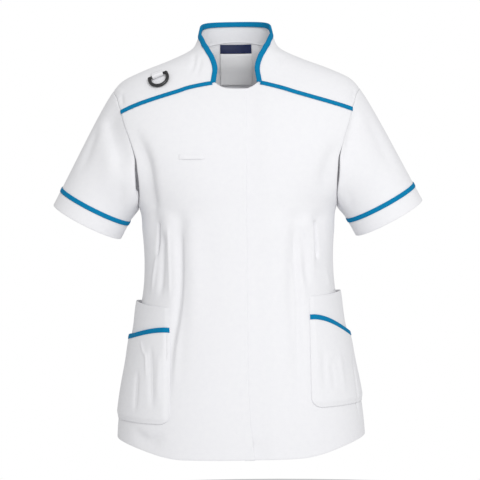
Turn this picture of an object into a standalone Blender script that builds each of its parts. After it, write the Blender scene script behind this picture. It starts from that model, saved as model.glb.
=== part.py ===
"""Maternity tunic: short sleeves, stand collar, lapped front, double hip pockets.

The garment is filled out with nobody in it. Its cloth follows one smooth form, a stack of
rounded rings. A place on the form is an angle round it (0 at centre front, 90 at the
wearer's left side, 180 at centre back) and a height. Each panel is a grid between four
seams, and neighbours share the points of their seam. The origin is inside the neck, level
with the base of the collar, with +Z up and the front facing -Y. Sizes are in millimetres.
"""
import math

import bmesh
import bpy
import numpy as np
from mathutils import Matrix, Vector

MM = 0.001

# Cloth and seams
CLOTH = 1.5
SEAM_GAP = 0.5
SEWN_ON_GAP = 0.5
BINDING_GAP = 0.95
BINDING_FOOT_EASE = 1.3
LINED_UP_GAP = 0.9
TRIM_WIDTH = 8.0
TRIM_CLOTH = 1.0
CUFF_PIPING_EASE = 0.3
YOKE_PIPING_INSET = (0.75, 0.05)

# Rings of the form: height, half width, depth in front, depth behind, squareness
HALF_WIDTH, FRONT_DEPTH, BACK_DEPTH, SQUARENESS = 1, 2, 3, 4
FORM = (
    (70, 62, 56, 56, 2.1),
    (46, 64, 57, 56, 2.1),
    (27, 69, 59, 57, 2.1),
    (9, 81, 60, 58, 2.1),
    (-9, 118, 64, 64, 2.15),
    (-27, 165, 71, 75, 2.2),
    (-45, 203, 79, 85, 2.3),
    (-60, 218, 87, 92, 2.4),
    (-86, 231, 100, 101, 2.5),
    (-130, 238, 115, 108, 2.6),
    (-176, 230, 124, 109, 2.6),
    (-230, 203, 129, 105, 2.5),
    (-255, 188, 130, 101, 2.4),
    (-274, 177, 130, 99, 2.35),
    (-315, 172, 132, 94, 2.3),
    (-370, 169, 135, 90, 2.3),
    (-425, 172.5, 141, 96, 2.3),
    (-477, 184, 147, 109, 2.3),
    (-513, 194, 151, 117, 2.3),
    (-549, 202, 155, 123, 2.3),
    (-585, 210, 158, 129, 2.3),
    (-621, 216, 161, 134, 2.3),
    (-657, 220, 163, 138, 2.3),
    (-705, 223, 165, 142, 2.3),
)

# Tucks and their folds: facing (1 front, -1 back), share of the half width at the top and
# at the bottom, height of the top and of the bottom, half width, how far it stands out
FOLDS = (
    (1, -0.84, -0.86, -300, -400, 12, -4.0),
    (1, -0.70, -0.72, -300, -420, 13, 3.0),
    (1, -0.585, -0.50, -300, -610, 13, -4.0),
    (1, -0.46, -0.40, -310, -520, 18, 2.5),
    (1, 0.81, 0.84, -300, -400, 12, -4.0),
    (1, 0.70, 0.74, -310, -420, 13, 3.0),
    (1, 0.585, 0.45, -300, -640, 13, -4.0),
    (1, 0.46, 0.36, -320, -500, 18, 2.5),
    (-1, -0.62, -0.56, -300, -600, 16, -4.0),
    (-1, -0.44, -0.38, -300, -520, 18, 3.0),
    (-1, 0.60, 0.55, -300, -620, 16, -4.0),
    (-1, 0.42, 0.36, -300, -500, 18, 3.0),
)
FOLD_START = 25.0
FOLD_FADE = 110.0

# Hem and the edges of the front lap
HEM_FRONT_Z = -702.5
HEM_SIDE_RISE = 24.0
HEM_RISE_START = 0.38
HEM_RISE_REACH = 0.7
LAP_EDGE = ((-60, 16), (-300, 14), (-560, 12.5), (-640, 15), (-705, 22))
UNDERLAP_X = -18.0
UNDERLAP_CLEAR_TOP = 20.0
UNDERLAP_CLEAR_HEM = 26.0
UNDERLAP_RAMP = 12.0
UNDERLAP_MARGIN = 1.0
NECKLINE_OVER = ((-19, -69.5), (-31, -64), (-37, -59))
NECKLINE_CLEAR = (UNDERLAP_CLEAR_TOP, -69.5)
NECKLINE_UNDER = (30, -64.5)

# Necks and shoulders: where seams run, as distance from the centre line and height
NECKLINE_Z = -71.0
NECK_POINT = (37.0, -59.0)
COLLAR_EDGE = (NECK_POINT, (34.6, -41), (34.2, -29), (37, -17.5), (42, -5.5), (48.5, 6.5),
               (55, 17), (60, 28))
COLLAR_SIDE_TOP_Z = 44.0
COLLAR_BACK_TOP_Z = 67.0
COLLAR_TOP_ROUNDNESS = 0.45
NECK_SEAM_ROUNDNESS = 1.5
NECK_SEAM_SIDE_Z = 8.0
NECK_SEAM_BACK_Z = 30.0
SHOULDER_TIP_Z = -60.0
UNDERARM_Z = -274.0
YOKE_ARMHOLE = (202.3, -107.0)
YOKE_SEAM = (NECK_POINT, (80, -67), (104, -74.5), (140, -85), (172, -95), YOKE_ARMHOLE)
YOKE_ARM_EDGE = (YOKE_ARMHOLE, (205.5, -98), (214, -75))
FRONT_ARM_EDGE = ((174.8, -262), (174, -240), (176.3, -211), (180, -185), (190, -148), YOKE_ARMHOLE)
BACK_ARM_EDGE = ((176, -262), (177, -240), (180, -211), (184, -185), (192, -148), (203, -107),
                 (207, -96), (215, -75))

# How many cells run along each seam
SIDE_CELLS = 14
FRONT_ARM_CELLS = 6
BACK_ARM_CELLS = 8
YOKE_ARM_CELLS = 10
SHOULDER_CELLS = 9
COLLAR_CELLS = 4
BACK_CELLS = 24
NECKLINE_CELLS = 4
YOKE_CELLS = SHOULDER_CELLS + COLLAR_CELLS

# Sleeves: the ring at the hem of the cuff, its two half widths and its forward dip
CUFF_CENTRE = Vector((270.5, -4.0, -295.5))
CUFF_ACROSS = Vector((-119.0, 0.0, -63.5)).normalized()
SLEEVE_AXIS = Vector((63.5, 0.0, -119.0)).normalized()
CUFF_HALF_WIDTH = 67.5
CUFF_HALF_DEPTH = 63.0
CUFF_DIP = 7.0
CUFF_BAND = 31.0
SLEEVE_CELLS = 7
SLEEVE_HEAD_PULL = 0.62
SLEEVE_CUFF_PULL = 1.0

# Hip pockets, by the wearer's side: mouth at the front and side, trimmed mouth at the front
# and side, bottom
POCKETS = {
    -1: {"under": (-448, -441), "over": (-482, -502), "bottom": -645},
    1: {"under": (-432, -427), "over": (-463, -502), "bottom": -620},
}
POCKET_FRONT_X = 120.0
POCKET_END_ANGLE = 110.0
POCKET_CLOTH = 1.2
POCKET_COLUMNS = 13
POCKET_ROWS = 8
POCKET_GAPE = 8.0
POCKET_GAPE_REACH = 45.0
OVER_POCKET_GAPE = 0.35
POCKET_GAPE_SKEW = 2.2
POCKET_MOUTH_TURN = 1.3
POCKET_PIPING_INSET = 0.3
PATCH_SLACK = 0.1

# Chest pocket mouth on the right front
CHEST_MOUTH = (-100.0, -55.0)
CHEST_MOUTH_Z = (-196.0, -187.0)

# Neck label, inside the back
LABEL_HALF_WIDTH = 29.5
LABEL_STRIP_Z = (10.5, 26.5)
LABEL_PANEL_Z = (-44.0, 10.0)
LABEL_CLOTH = 0.8

# D-ring and the cloth tab that holds its bar, on the right shoulder
RING_PLACE = (-136.5, -45.5)
RING_BAR_SLOPE = Vector((0.94, 0.0, 0.34))
RING_WIRE = 2.5
RING_BAR_HALF = 14.2
RING_CORNER = 1.8
RING_ARC_RADIUS = 16.0
RING_ARC_CENTRE = 7.0
RING_POINTS = 20
RING_REST_GAP = 1.3
TAB_CLOTH = 1.2
TAB_HALF_WIDTH = 10.0
TAB_LENGTH = 12.0
TAB_BAR_CLEARANCE = 0.4
TAB_LIFT = 0.4
TAB_LAYER_GAP = 0.35
TAB_LOWER_TURN = 0.45
TAB_LOOP_ANGLES = (-90, 135)
TAB_WAIST = ((-5.2, 3.9), (-7.6, 2.7))

# Colours, red, green and blue in the scene's linear light
WHITE_CLOTH = (0.86, 0.86, 0.88)
LABEL_WHITE = (0.80, 0.80, 0.80)
TRIM_BLUE = (0.004, 0.216, 0.445)
LABEL_NAVY = (0.012, 0.022, 0.10)
RING_BLACK = (0.012, 0.012, 0.013)


def smooth_column(table, column, z):
    """Read one column of a table, listed from the top down, on a smooth curve at heights z."""
    rows = np.array(table, dtype=float)[::-1]
    heights, values = rows[:, 0], rows[:, column]
    slopes = np.gradient(values, heights)
    z = np.clip(z, heights[0], heights[-1])
    k = np.clip(np.searchsorted(heights, z) - 1, 0, len(heights) - 2)
    step = heights[k + 1] - heights[k]
    t = (z - heights[k]) / step
    start = (1 + 2 * t) * (1 - t) ** 2 * values[k] + t * (1 - t) ** 2 * step * slopes[k]
    end = t * t * (3 - 2 * t) * values[k + 1] + t * t * (t - 1) * step * slopes[k + 1]
    return start + end


def ease(value):
    """Rise smoothly from 0 to 1 as the value goes from 0 to 1."""
    value = np.clip(value, 0.0, 1.0)
    return value * value * (3 - 2 * value)


def fold_height(share, facing, half_width, z):
    """How far the folds stand out, where share is the share of the half width."""
    height = np.zeros(np.broadcast(share, z).shape)
    for face, share_top, share_bottom, z_top, z_bottom, reach, lift in FOLDS:
        along = np.clip((z_top - z) / (z_top - z_bottom), 0, 1)
        middle = share_top + (share_bottom - share_top) * along
        across = (share - middle) * half_width / reach
        window = ease((z_top + FOLD_START - z) / FOLD_START) * ease((z - z_bottom) / FOLD_FADE)
        height = height + lift * np.exp(-across ** 2) * window * (facing == face)
    return height


def form_point(angle, z):
    """The point of the form at an angle in degrees and a height."""
    angle, z = np.broadcast_arrays(np.asarray(angle, float), np.asarray(z, float))
    sine, cosine = np.sin(np.radians(angle)), np.cos(np.radians(angle))
    power = 2 / smooth_column(FORM, SQUARENESS, z)
    half_width = smooth_column(FORM, HALF_WIDTH, z)
    front, back = smooth_column(FORM, FRONT_DEPTH, z), smooth_column(FORM, BACK_DEPTH, z)
    share = np.sign(sine) * np.abs(sine) ** power
    x = half_width * share
    y = -np.where(cosine > 0, front, back) * np.sign(cosine) * np.abs(cosine) ** power
    swell = 1 + fold_height(share, np.sign(cosine), half_width, z) / np.hypot(x, y)
    return np.stack([x * swell, y * swell, z], axis=-1)


def form_normal(angle, z):
    """The direction straight out of the form."""
    along = form_point(angle + 0.6, z) - form_point(angle - 0.6, z)
    up = form_point(angle, z + 1.5) - form_point(angle, z - 1.5)
    normal = np.cross(along, up)
    return normal / np.linalg.norm(normal, axis=-1, keepdims=True)


def on_form(places, out=0.0):
    """Points over places, rows of (angle, height), moved out of the form."""
    angle, z = places[..., 0], places[..., 1]
    out = np.asarray(out, float)[..., None]
    return form_point(angle, z) + form_normal(angle, z) * out


def front_angle(x, z):
    """The angle, in front, of the point of the form at distance x from the centre line."""
    share = np.abs(x) / smooth_column(FORM, HALF_WIDTH, z)
    power = smooth_column(FORM, SQUARENESS, z) / 2
    return np.sign(x) * np.degrees(np.arcsin(np.clip(share, 0, 1) ** power))


def in_front(points):
    """Turn (distance, height) pairs of the front into places on the form."""
    return [(float(front_angle(x, z)), z) for x, z in points]


def behind(points):
    """Turn (distance, height) pairs of the back into places on the form."""
    return [(180 - float(front_angle(x, z)), z) for x, z in points]


def seam(places, cells):
    """A smooth curve through places, cut into cells of even length."""
    knots = np.array([places[0]] + list(places) + [places[-1]], dtype=float)
    dense = []
    for a, b, c, d in zip(knots, knots[1:], knots[2:], knots[3:]):
        for t in np.linspace(0, 1, 24, endpoint=False):
            dense.append(0.5 * (2 * b + (c - a) * t + (2 * a - 5 * b + 4 * c - d) * t ** 2
                                + (3 * b - a - 3 * c + d) * t ** 3))
    dense = np.array(dense + [knots[-1]])
    steps = np.linalg.norm(np.diff(on_form(dense), axis=0), axis=1)
    length = np.concatenate([[0], np.cumsum(steps)])
    marks = np.linspace(0, length[-1], cells + 1)
    return np.stack([np.interp(marks, length, dense[:, k]) for k in (0, 1)], axis=-1)


def join(*seams):
    """One seam from several that meet end to end."""
    return np.concatenate([seams[0]] + [part[1:] for part in seams[1:]])


def mirrored(places, side):
    """The same places on the wearer's left (1) or right (-1) side."""
    return places * np.array([side, 1.0])


def hem_z(angle):
    """Height of the hem, which rises towards the side seams."""
    aside = np.abs(np.sin(np.radians(angle)))
    return HEM_FRONT_Z + HEM_SIDE_RISE * ease((aside - HEM_RISE_START) / HEM_RISE_REACH)


def lap_x(z):
    """Distance of the lap's edge from the centre line."""
    rows = sorted(LAP_EDGE)
    return np.interp(z, [row[0] for row in rows], [row[1] for row in rows])


# Seams, all on the wearer's left, from the bottom up or from the centre out
SIDE_SEAM = seam([(90, float(hem_z(90))), (90, -500), (90, -400), (90, UNDERARM_Z)], SIDE_CELLS)
FRONT_ARM = seam([(90, UNDERARM_Z)] + in_front(FRONT_ARM_EDGE), FRONT_ARM_CELLS)
BACK_ARM = seam([(90, UNDERARM_Z)] + behind(BACK_ARM_EDGE) + [(90, SHOULDER_TIP_Z)], BACK_ARM_CELLS)
YOKE_ARM = seam(in_front(YOKE_ARM_EDGE) + [(90, SHOULDER_TIP_Z)], YOKE_ARM_CELLS)
SHOULDER = seam([(90, SHOULDER_TIP_Z), (90, -40), (90, -15), (90, NECK_SEAM_SIDE_Z)], SHOULDER_CELLS)
COLLAR_SIDE = seam([(90, NECK_SEAM_SIDE_Z), (90, 27), (90, COLLAR_SIDE_TOP_Z)], COLLAR_CELLS)
COLLAR_FRONT = seam(in_front(COLLAR_EDGE) + [(90, COLLAR_SIDE_TOP_Z)], YOKE_ARM_CELLS)
YOKE_LINE = seam(in_front(YOKE_SEAM), YOKE_CELLS)


def round_back(side_z, back_z, roundness):
    """A seam round the back between the two sides, highest at the centre."""
    angles = np.linspace(90, 270, 19)
    rise = np.abs(np.cos(np.radians(angles))) ** roundness
    return seam([(a, side_z + (back_z - side_z) * r) for a, r in zip(angles, rise)], BACK_CELLS)


def along_hem(start, end, cells):
    """The hem between two angles."""
    return seam([(a, float(hem_z(a))) for a in np.linspace(start, end, 25)], cells)


def coons(bottom, top, left, right):
    """Fill four seams that meet at their ends with a grid of places, columns first."""
    u = np.linspace(0, 1, len(bottom))[:, None, None]
    v = np.linspace(0, 1, len(left))[None, :, None]
    sides = (1 - u) * left[None] + u * right[None]
    ends = (1 - v) * bottom[:, None] + v * top[:, None]
    corners = (1 - u) * ((1 - v) * bottom[0] + v * top[0]) + u * ((1 - v) * bottom[-1] + v * top[-1])
    return sides + ends - corners


def trimmed(grid):
    """Draw the four edges of a panel in by half a seam gap, along its own grid lines."""
    grid = grid.copy()
    for _ in range(2):
        for edge, inside in ((0, 1), (-1, -2)):
            step = grid[inside] - grid[edge]
            grid[edge] += step * (SEAM_GAP / 2 / np.linalg.norm(step, axis=-1, keepdims=True))
        grid = grid.swapaxes(0, 1)
    return grid


def new_material(name, colour, roughness):
    """A material with one colour."""
    material = bpy.data.materials.new(name)
    material.use_nodes = True
    shader = material.node_tree.nodes["Principled BSDF"]
    shader.inputs["Base Color"].default_value = (*colour, 1.0)
    shader.inputs["Roughness"].default_value = roughness
    shader.inputs["Metallic"].default_value = 0.0
    return material


def add_object(name, data, material, collection):
    """Put mesh or curve data in the collection as an object with a material of its own."""
    data.materials.append(new_material(name, *material))
    item = bpy.data.objects.new(name, data)
    collection.objects.link(item)
    return item


def face_outward(bm):
    """Turn the faces of one closed body outward."""
    bmesh.ops.recalc_face_normals(bm, faces=bm.faces[:])
    if bm.calc_volume(signed=True) < 0:
        bmesh.ops.reverse_faces(bm, faces=bm.faces[:])


def wall(name, outer, inner, material, collection, ring=False):
    """Close a wall between two grids of points, joined end to end if it is a ring."""
    columns, rows = outer.shape[:2]
    bm = bmesh.new()
    bmesh.ops.create_grid(bm, x_segments=columns - 1, y_segments=rows - 1, size=1)
    for vert in bm.verts:
        vert.co = ((vert.co.x + 1) / 2 * (columns - 1), (vert.co.y + 1) / 2 * (rows - 1), 0)
    for item in bmesh.ops.extrude_face_region(bm, geom=bm.faces[:])["geom"]:
        if isinstance(item, bmesh.types.BMVert):
            item.co.z = 1
    if ring:
        ends = [face for face in bm.faces
                if all(vert.co.x < 0.5 for vert in face.verts)
                or all(vert.co.x > columns - 1.5 for vert in face.verts)]
        bmesh.ops.delete(bm, geom=ends, context="FACES")
    for vert in bm.verts:
        column, row, side = (round(value) for value in vert.co)
        vert.co = Vector((inner if side else outer)[column, row]) * MM
    if ring:
        bmesh.ops.remove_doubles(bm, verts=bm.verts[:], dist=0.00001)
    face_outward(bm)
    mesh = bpy.data.meshes.new(name)
    bm.to_mesh(mesh)
    bm.free()
    mesh.shade_smooth()
    mesh.set_sharp_from_angle(angle=math.radians(40))
    return add_object(name, mesh, material, collection)


def panel(name, places, material, collection, depth=0.0):
    """A cloth panel on the form, its outer face pressed in by a depth."""
    outer = trimmed(on_form(places, -depth))
    inner = trimmed(on_form(places, -depth - CLOTH))
    return wall(name, outer, inner, material, collection)


def step_on_form(places, move):
    """Move places by vectors that lie along the form, in millimetres."""
    angle, z = places[..., 0], places[..., 1]
    around = (form_point(angle + 0.5, z) - form_point(angle - 0.5, z))
    upward = (form_point(angle, z + 1) - form_point(angle, z - 1)) / 2
    aa, au, uu = (np.sum(p * q, -1) for p, q in ((around, around), (around, upward), (upward, upward)))
    ma, mu = np.sum(move * around, -1), np.sum(move * upward, -1)
    det = aa * uu - au * au
    shift = np.stack([(ma * uu - mu * au) / det, (mu * aa - ma * au) / det], axis=-1)
    return places + shift


def beside_seam(places, distance):
    """Places at a distance to the left of a seam, as one looks along it from outside."""
    points = on_form(places)
    ahead = np.gradient(points, axis=0)
    left = np.cross(form_normal(places[:, 0], places[:, 1]), ahead)
    left /= np.linalg.norm(left, axis=-1, keepdims=True)
    return step_on_form(places, left * distance)


def build_fronts(white, collection):
    """The right front laps over. The left front runs on beneath it, pressed in."""
    side = join(SIDE_SEAM, FRONT_ARM)
    edge_z = np.linspace(float(hem_z(0)), NECKLINE_Z, len(side))

    lap = np.stack([front_angle(lap_x(edge_z), edge_z), edge_z], axis=-1)
    neck = seam([tuple(lap[-1]), (0, NECKLINE_Z), *in_front(NECKLINE_OVER)],
                NECKLINE_CELLS)
    top = join(neck, mirrored(YOKE_LINE, -1))
    bottom = along_hem(lap[0][0], -90, len(top) - 1)
    lap[0], lap[-1] = bottom[0], top[0]
    panel("front_right", coons(bottom, top, lap, mirrored(side, -1)), white, collection)

    under = np.stack([front_angle(UNDERLAP_X, edge_z), edge_z], axis=-1)
    neck_under = seam([tuple(under[-1]), (0, NECKLINE_Z),
                       *in_front([NECKLINE_CLEAR])], 2)
    neck_over = seam(in_front([NECKLINE_CLEAR, NECKLINE_UNDER, NECK_POINT]), 2)
    top = join(neck_under, neck_over, YOKE_LINE)
    hem_clear = float(front_angle(UNDERLAP_CLEAR_HEM, HEM_FRONT_Z))
    hem_ramp = float(front_angle(UNDERLAP_CLEAR_HEM + UNDERLAP_RAMP, HEM_FRONT_Z))
    bottom = join(along_hem(under[0][0], hem_clear, 2), along_hem(hem_clear, hem_ramp, 1),
                  along_hem(hem_ramp, 90, len(top) - 4))
    under[0], under[-1] = bottom[0], top[0]
    places = coons(bottom, top, under, side)
    x, z = form_point(places[..., 0], places[..., 1])[..., 0], places[..., 1]
    share = (z - HEM_FRONT_Z) / (NECKLINE_Z - HEM_FRONT_Z)
    clear = UNDERLAP_CLEAR_HEM + (UNDERLAP_CLEAR_TOP - UNDERLAP_CLEAR_HEM) * share
    depth = (CLOTH + LINED_UP_GAP) * (1 - ease((x - clear - UNDERLAP_MARGIN) / UNDERLAP_RAMP))
    panel("front_left", places, white, collection, depth)


def build_back(white, collection):
    """The back, from the hem to the back neck, with the back collar above it."""
    left = join(SIDE_SEAM, BACK_ARM, SHOULDER)
    right = left.copy()
    right[:, 0] = 360 - left[:, 0]
    neck = round_back(NECK_SEAM_SIDE_Z, NECK_SEAM_BACK_Z, NECK_SEAM_ROUNDNESS)
    panel("back", coons(along_hem(90, 270, BACK_CELLS), neck, left, right), white, collection)

    collar_right = COLLAR_SIDE.copy()
    collar_right[:, 0] = 360 - COLLAR_SIDE[:, 0]
    top = round_back(COLLAR_SIDE_TOP_Z, COLLAR_BACK_TOP_Z, COLLAR_TOP_ROUNDNESS)
    places = coons(neck, top, COLLAR_SIDE, collar_right)
    panel("collar_back", places, white, collection)
    return places


def build_yoke(side, name, white, collection):
    """A yoke and the front of the collar, cut in one."""
    top = join(COLLAR_SIDE[::-1], SHOULDER[::-1])
    places = coons(YOKE_LINE, top, COLLAR_FRONT, YOKE_ARM)
    panel(f"yoke_{name}", mirrored(places, side), white, collection)
    return places


def ribbon(name, places_low, places_high, lift, cloth, material, collection):
    """A flat strip over the form between two rows of places."""
    places = np.stack([places_low, (places_low + places_high) / 2, places_high], axis=1)
    outer = on_form(places, lift + cloth)
    inner = on_form(places, lift)
    return wall(name, outer, inner, material, collection)


def build_yoke_piping(side, name, blue, collection):
    """The strip that covers the seam between a yoke and a front."""
    low = beside_seam(YOKE_LINE, -TRIM_WIDTH / 2)
    high = beside_seam(YOKE_LINE, TRIM_WIDTH / 2)
    start, end = YOKE_PIPING_INSET
    for row in (low, high):
        row[0] += (row[1] - row[0]) * start
        row[-1] += (row[-2] - row[-1]) * end
    ribbon(f"yoke_piping_{name}", mirrored(low, side), mirrored(high, side), SEWN_ON_GAP,
           TRIM_CLOTH, blue, collection)


def build_collar_binding(yoke, collar, blue, collection):
    """The binding folded over the free edge of the collar, from neck point to neck point.

    It is made from the edge points of the yoke's and the back collar's own grids, and from
    the next points in from the edge.
    """
    edge, inside = (np.concatenate([yoke[k], collar[1:-1, -1 - k],
                                    (mirrored(yoke[k], -1) + np.array([360, 0]))[::-1]])
                    for k in (0, 1))
    normal = form_normal(edge[:, 0], edge[:, 1])
    inside_normal = form_normal(inside[:, 0], inside[:, 1])
    edge_point, inside_point = on_form(edge), on_form(inside)
    share = TRIM_WIDTH / np.linalg.norm(inside_point - edge_point, axis=-1, keepdims=True)
    foot_point = edge_point + (inside_point - edge_point) * share
    foot_normal = normal + (inside_normal - normal) * share
    outward = np.cross(np.gradient(edge_point, axis=0), normal)
    outward /= np.linalg.norm(outward, axis=-1, keepdims=True)
    outward *= np.sign(np.sum(outward * (edge_point - inside_point), axis=-1, keepdims=True))
    near, far = BINDING_GAP, BINDING_GAP + TRIM_CLOTH
    section = (
        (foot_point, foot_normal, far, 0.0),
        (edge_point, normal, far, far),
        (edge_point, normal, -CLOTH - far, far),
        (foot_point, foot_normal, -CLOTH - far - BINDING_FOOT_EASE, 0.0),
        (foot_point, foot_normal, -CLOTH - near - BINDING_FOOT_EASE, 0.0),
        (edge_point, normal, -CLOTH - near, near),
        (edge_point, normal, near, near),
        (foot_point, foot_normal, near, 0.0),
    )
    sweep("collar_binding", [point + way * lift + outward * reach
                             for point, way, lift, reach in section], blue, collection)


def sweep(name, section, material, collection):
    """A closed body whose section is a ring of point rows, with flat ends."""
    bm = bmesh.new()
    rows = [[bm.verts.new(Vector(point) * MM) for point in row] for row in section]
    count = len(rows)
    for k, row in enumerate(rows):
        following = rows[(k + 1) % count]
        for j in range(len(row) - 1):
            bm.faces.new((row[j], row[j + 1], following[j + 1], following[j]))
    half = count // 2
    for end in (0, -1):
        for k in range(half - 1):
            bm.faces.new((rows[k][end], rows[k + 1][end], rows[count - 2 - k][end],
                          rows[count - 1 - k][end]))
    face_outward(bm)
    mesh = bpy.data.meshes.new(name)
    bm.to_mesh(mesh)
    bm.free()
    return add_object(name, mesh, material, collection)


def cuff_ring(turns, up_axis):
    """Points of the sleeve's lower ring, and the way out of it, at turns in degrees.

    Turn 180 is the outer edge, 270 the front and 0 the underarm. up_axis is the distance
    from the hem of the cuff back up the sleeve.
    """
    cosine, sine = np.cos(np.radians(turns))[:, None], np.sin(np.radians(turns))[:, None]
    across, axis = np.array(CUFF_ACROSS), np.array(SLEEVE_AXIS)
    deep = np.array([0.0, 1.0, 0.0])
    centre = np.array(CUFF_CENTRE) - axis * up_axis
    point = (centre + across * CUFF_HALF_WIDTH * cosine + deep * CUFF_HALF_DEPTH * sine
             - axis * CUFF_DIP * sine)
    out = across * CUFF_HALF_DEPTH * cosine + deep * CUFF_HALF_WIDTH * sine
    return point, out / np.linalg.norm(out, axis=-1, keepdims=True)


def sleeve_rows():
    """Rows of a left sleeve's points from the armhole to the cuff, closed round, and its turns."""
    back, yoke, front = BACK_ARM[::-1], YOKE_ARM[::-1], FRONT_ARM[::-1]
    loop = np.concatenate([yoke[:-1], front[:-1], back[::-1][:-1]])
    points = on_form(loop)
    normal = form_normal(loop[:, 0], loop[:, 1])
    ahead = np.roll(points, -1, axis=0) - np.roll(points, 1, axis=0)
    into = np.cross(normal, ahead)
    into /= np.linalg.norm(into, axis=-1, keepdims=True)
    into *= np.sign(np.sum(into * (points.mean(axis=0) - points), axis=-1, keepdims=True))

    steps = np.linalg.norm(np.roll(points, -1, axis=0) - points, axis=-1)
    bottom = len(yoke) + len(front) - 2
    length = np.concatenate([[0], np.cumsum(steps)])
    turns = np.where(np.arange(len(loop)) <= bottom,
                     180 + 180 * length[:-1] / length[bottom],
                     360 + 180 * (length[:-1] - length[bottom]) / (length[-1] - length[bottom]))

    head = ease((points[:, 2:3] - UNDERARM_Z) / (SHOULDER_TIP_Z - UNDERARM_Z)) ** 1.5
    start_way = into * head + np.array(SLEEVE_AXIS) * (1 - head)
    start_way /= np.linalg.norm(start_way, axis=-1, keepdims=True)
    lean = into + start_way
    start = points + lean * (SEAM_GAP / np.linalg.norm(lean, axis=-1, keepdims=True))
    end, end_out = cuff_ring(turns, CUFF_BAND)

    length = np.linalg.norm(end - start, axis=-1, keepdims=True)
    leave = start_way * length * SLEEVE_HEAD_PULL
    arrive = np.array(SLEEVE_AXIS) * length * SLEEVE_CUFF_PULL
    rows = []
    for t in np.linspace(0, 1, SLEEVE_CELLS + 1):
        rows.append((1 + 2 * t) * (1 - t) ** 2 * start + t * (1 - t) ** 2 * leave
                    + t * t * (3 - 2 * t) * end + t * t * (t - 1) * arrive)
    return np.array(rows), turns, end_out


def closed(rows):
    """Repeat the first column at the end of each row."""
    return np.concatenate([rows, rows[:, :1]], axis=1)


def flipped(rows, side):
    """Mirror points to the wearer's right side where side is -1."""
    return rows * np.array([side, 1.0, 1.0])


def ring_wall(name, rows, normals, lift, cloth, side, material, collection):
    """A tube through rows of points, its inner face lifted along the normals."""
    outer = flipped(closed(rows + normals * (lift + cloth)), side).swapaxes(0, 1)
    inner = flipped(closed(rows + normals * lift), side).swapaxes(0, 1)
    return wall(name, outer, inner, material, collection, ring=True)


def build_sleeve(side, name, white, blue, collection):
    """A sleeve, its cuff band and the piping over the seam between them."""
    rows, turns, end_out = sleeve_rows()
    around = np.roll(rows, -1, axis=1) - np.roll(rows, 1, axis=1)
    down = np.gradient(rows, axis=0)
    normals = np.cross(around, down)
    normals /= np.linalg.norm(normals, axis=-1, keepdims=True)
    outside = rows[-1] - rows[-1].mean(axis=0)
    normals *= np.sign(np.sum(normals[-1] * outside))
    normals[-1] = end_out
    rows[-1] -= np.array(SLEEVE_AXIS) * SEAM_GAP / 2
    ring_wall(f"sleeve_{name}", rows, normals, -CLOTH, CLOTH, side, white, collection)

    cuff = np.array([cuff_ring(turns, up)[0] for up in (CUFF_BAND - SEAM_GAP / 2, CUFF_BAND / 2, 0)])
    out = np.array([end_out] * 3)
    ring_wall(f"cuff_{name}", cuff, out, -CLOTH, CLOTH, side, white, collection)

    half = TRIM_WIDTH / 2
    strip = np.array([cuff_ring(turns, CUFF_BAND + up)[0] for up in (half, 0, -half)])
    ring_wall(f"cuff_piping_{name}", strip, out, SEWN_ON_GAP + CUFF_PIPING_EASE, TRIM_CLOTH,
              side, blue, collection)


def pocket_places(side, mouth, bottom):
    """A pocket's grid on the form, from its front edge round past the side seam."""
    u = np.linspace(0, 1, POCKET_COLUMNS)[:, None]
    v = np.linspace(0, 1, POCKET_ROWS + 1)[None, :]
    top = mouth[0] + (mouth[1] - mouth[0]) * ease(u * POCKET_MOUTH_TURN)
    z = bottom + (top - bottom) * v
    angle = front_angle(POCKET_FRONT_X, z)
    angle = angle + (POCKET_END_ANGLE - angle) * u
    return np.stack([angle * side, z], axis=-1), u + 0 * v, top + 0 * v - z


def gape(across, below_mouth):
    """How far a pocket stands away from the body near its mouth, most at the side seam."""
    bow = np.sin(math.pi * across ** POCKET_GAPE_SKEW) ** 2
    return POCKET_GAPE * bow * np.exp(-(below_mouth / POCKET_GAPE_REACH) ** 2)


def build_pockets(side, name, white, blue, collection):
    """The under pocket, the over pocket and the piping at the over pocket's mouth."""
    sizes = POCKETS[side]
    places, across, below = pocket_places(side, sizes["under"], sizes["bottom"])
    lift = LINED_UP_GAP + gape(across, below)
    wall(f"pocket_under_{name}", on_form(places, lift + POCKET_CLOTH), on_form(places, lift),
         white, collection)

    mouth = sizes["under"]
    under_top = mouth[0] + (mouth[1] - mouth[0]) * ease(across * POCKET_MOUTH_TURN)
    places, across, below = pocket_places(side, sizes["over"], sizes["bottom"])
    base = LINED_UP_GAP + SEWN_ON_GAP + POCKET_CLOTH + PATCH_SLACK
    base = base + gape(across, under_top - places[..., 1])
    lift = base + OVER_POCKET_GAPE * gape(across, below)
    wall(f"pocket_over_{name}", on_form(places, lift + POCKET_CLOTH), on_form(places, lift),
         white, collection)

    outer = on_form(places, lift + POCKET_CLOTH)
    way = form_normal(places[..., 0], places[..., 1])
    edge, down = outer[:, -1], outer[:, -2] - outer[:, -1]
    length = np.linalg.norm(down, axis=-1, keepdims=True)
    below = np.array([0.0, TRIM_WIDTH / 2, TRIM_WIDTH]) + POCKET_PIPING_INSET
    strip = (edge + down * below[:, None, None] / length).swapaxes(0, 1)
    normal = way[:, -1:, :] + 0 * strip
    wall(f"pocket_piping_{name}", strip + normal * (SEWN_ON_GAP + TRIM_CLOTH),
         strip + normal * SEWN_ON_GAP, blue, collection)


def build_chest_mouth(white, collection):
    """The narrow welt at the mouth of the chest pocket."""
    x = np.linspace(*CHEST_MOUTH, 5)[:, None]
    z = np.linspace(*CHEST_MOUTH_Z, 3)[None, :]
    places = np.stack([front_angle(x, z), z + 0 * x], axis=-1)
    lift = SEWN_ON_GAP + PATCH_SLACK
    wall("chest_pocket", on_form(places, lift + TRIM_CLOTH), on_form(places, lift), white,
         collection)


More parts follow.
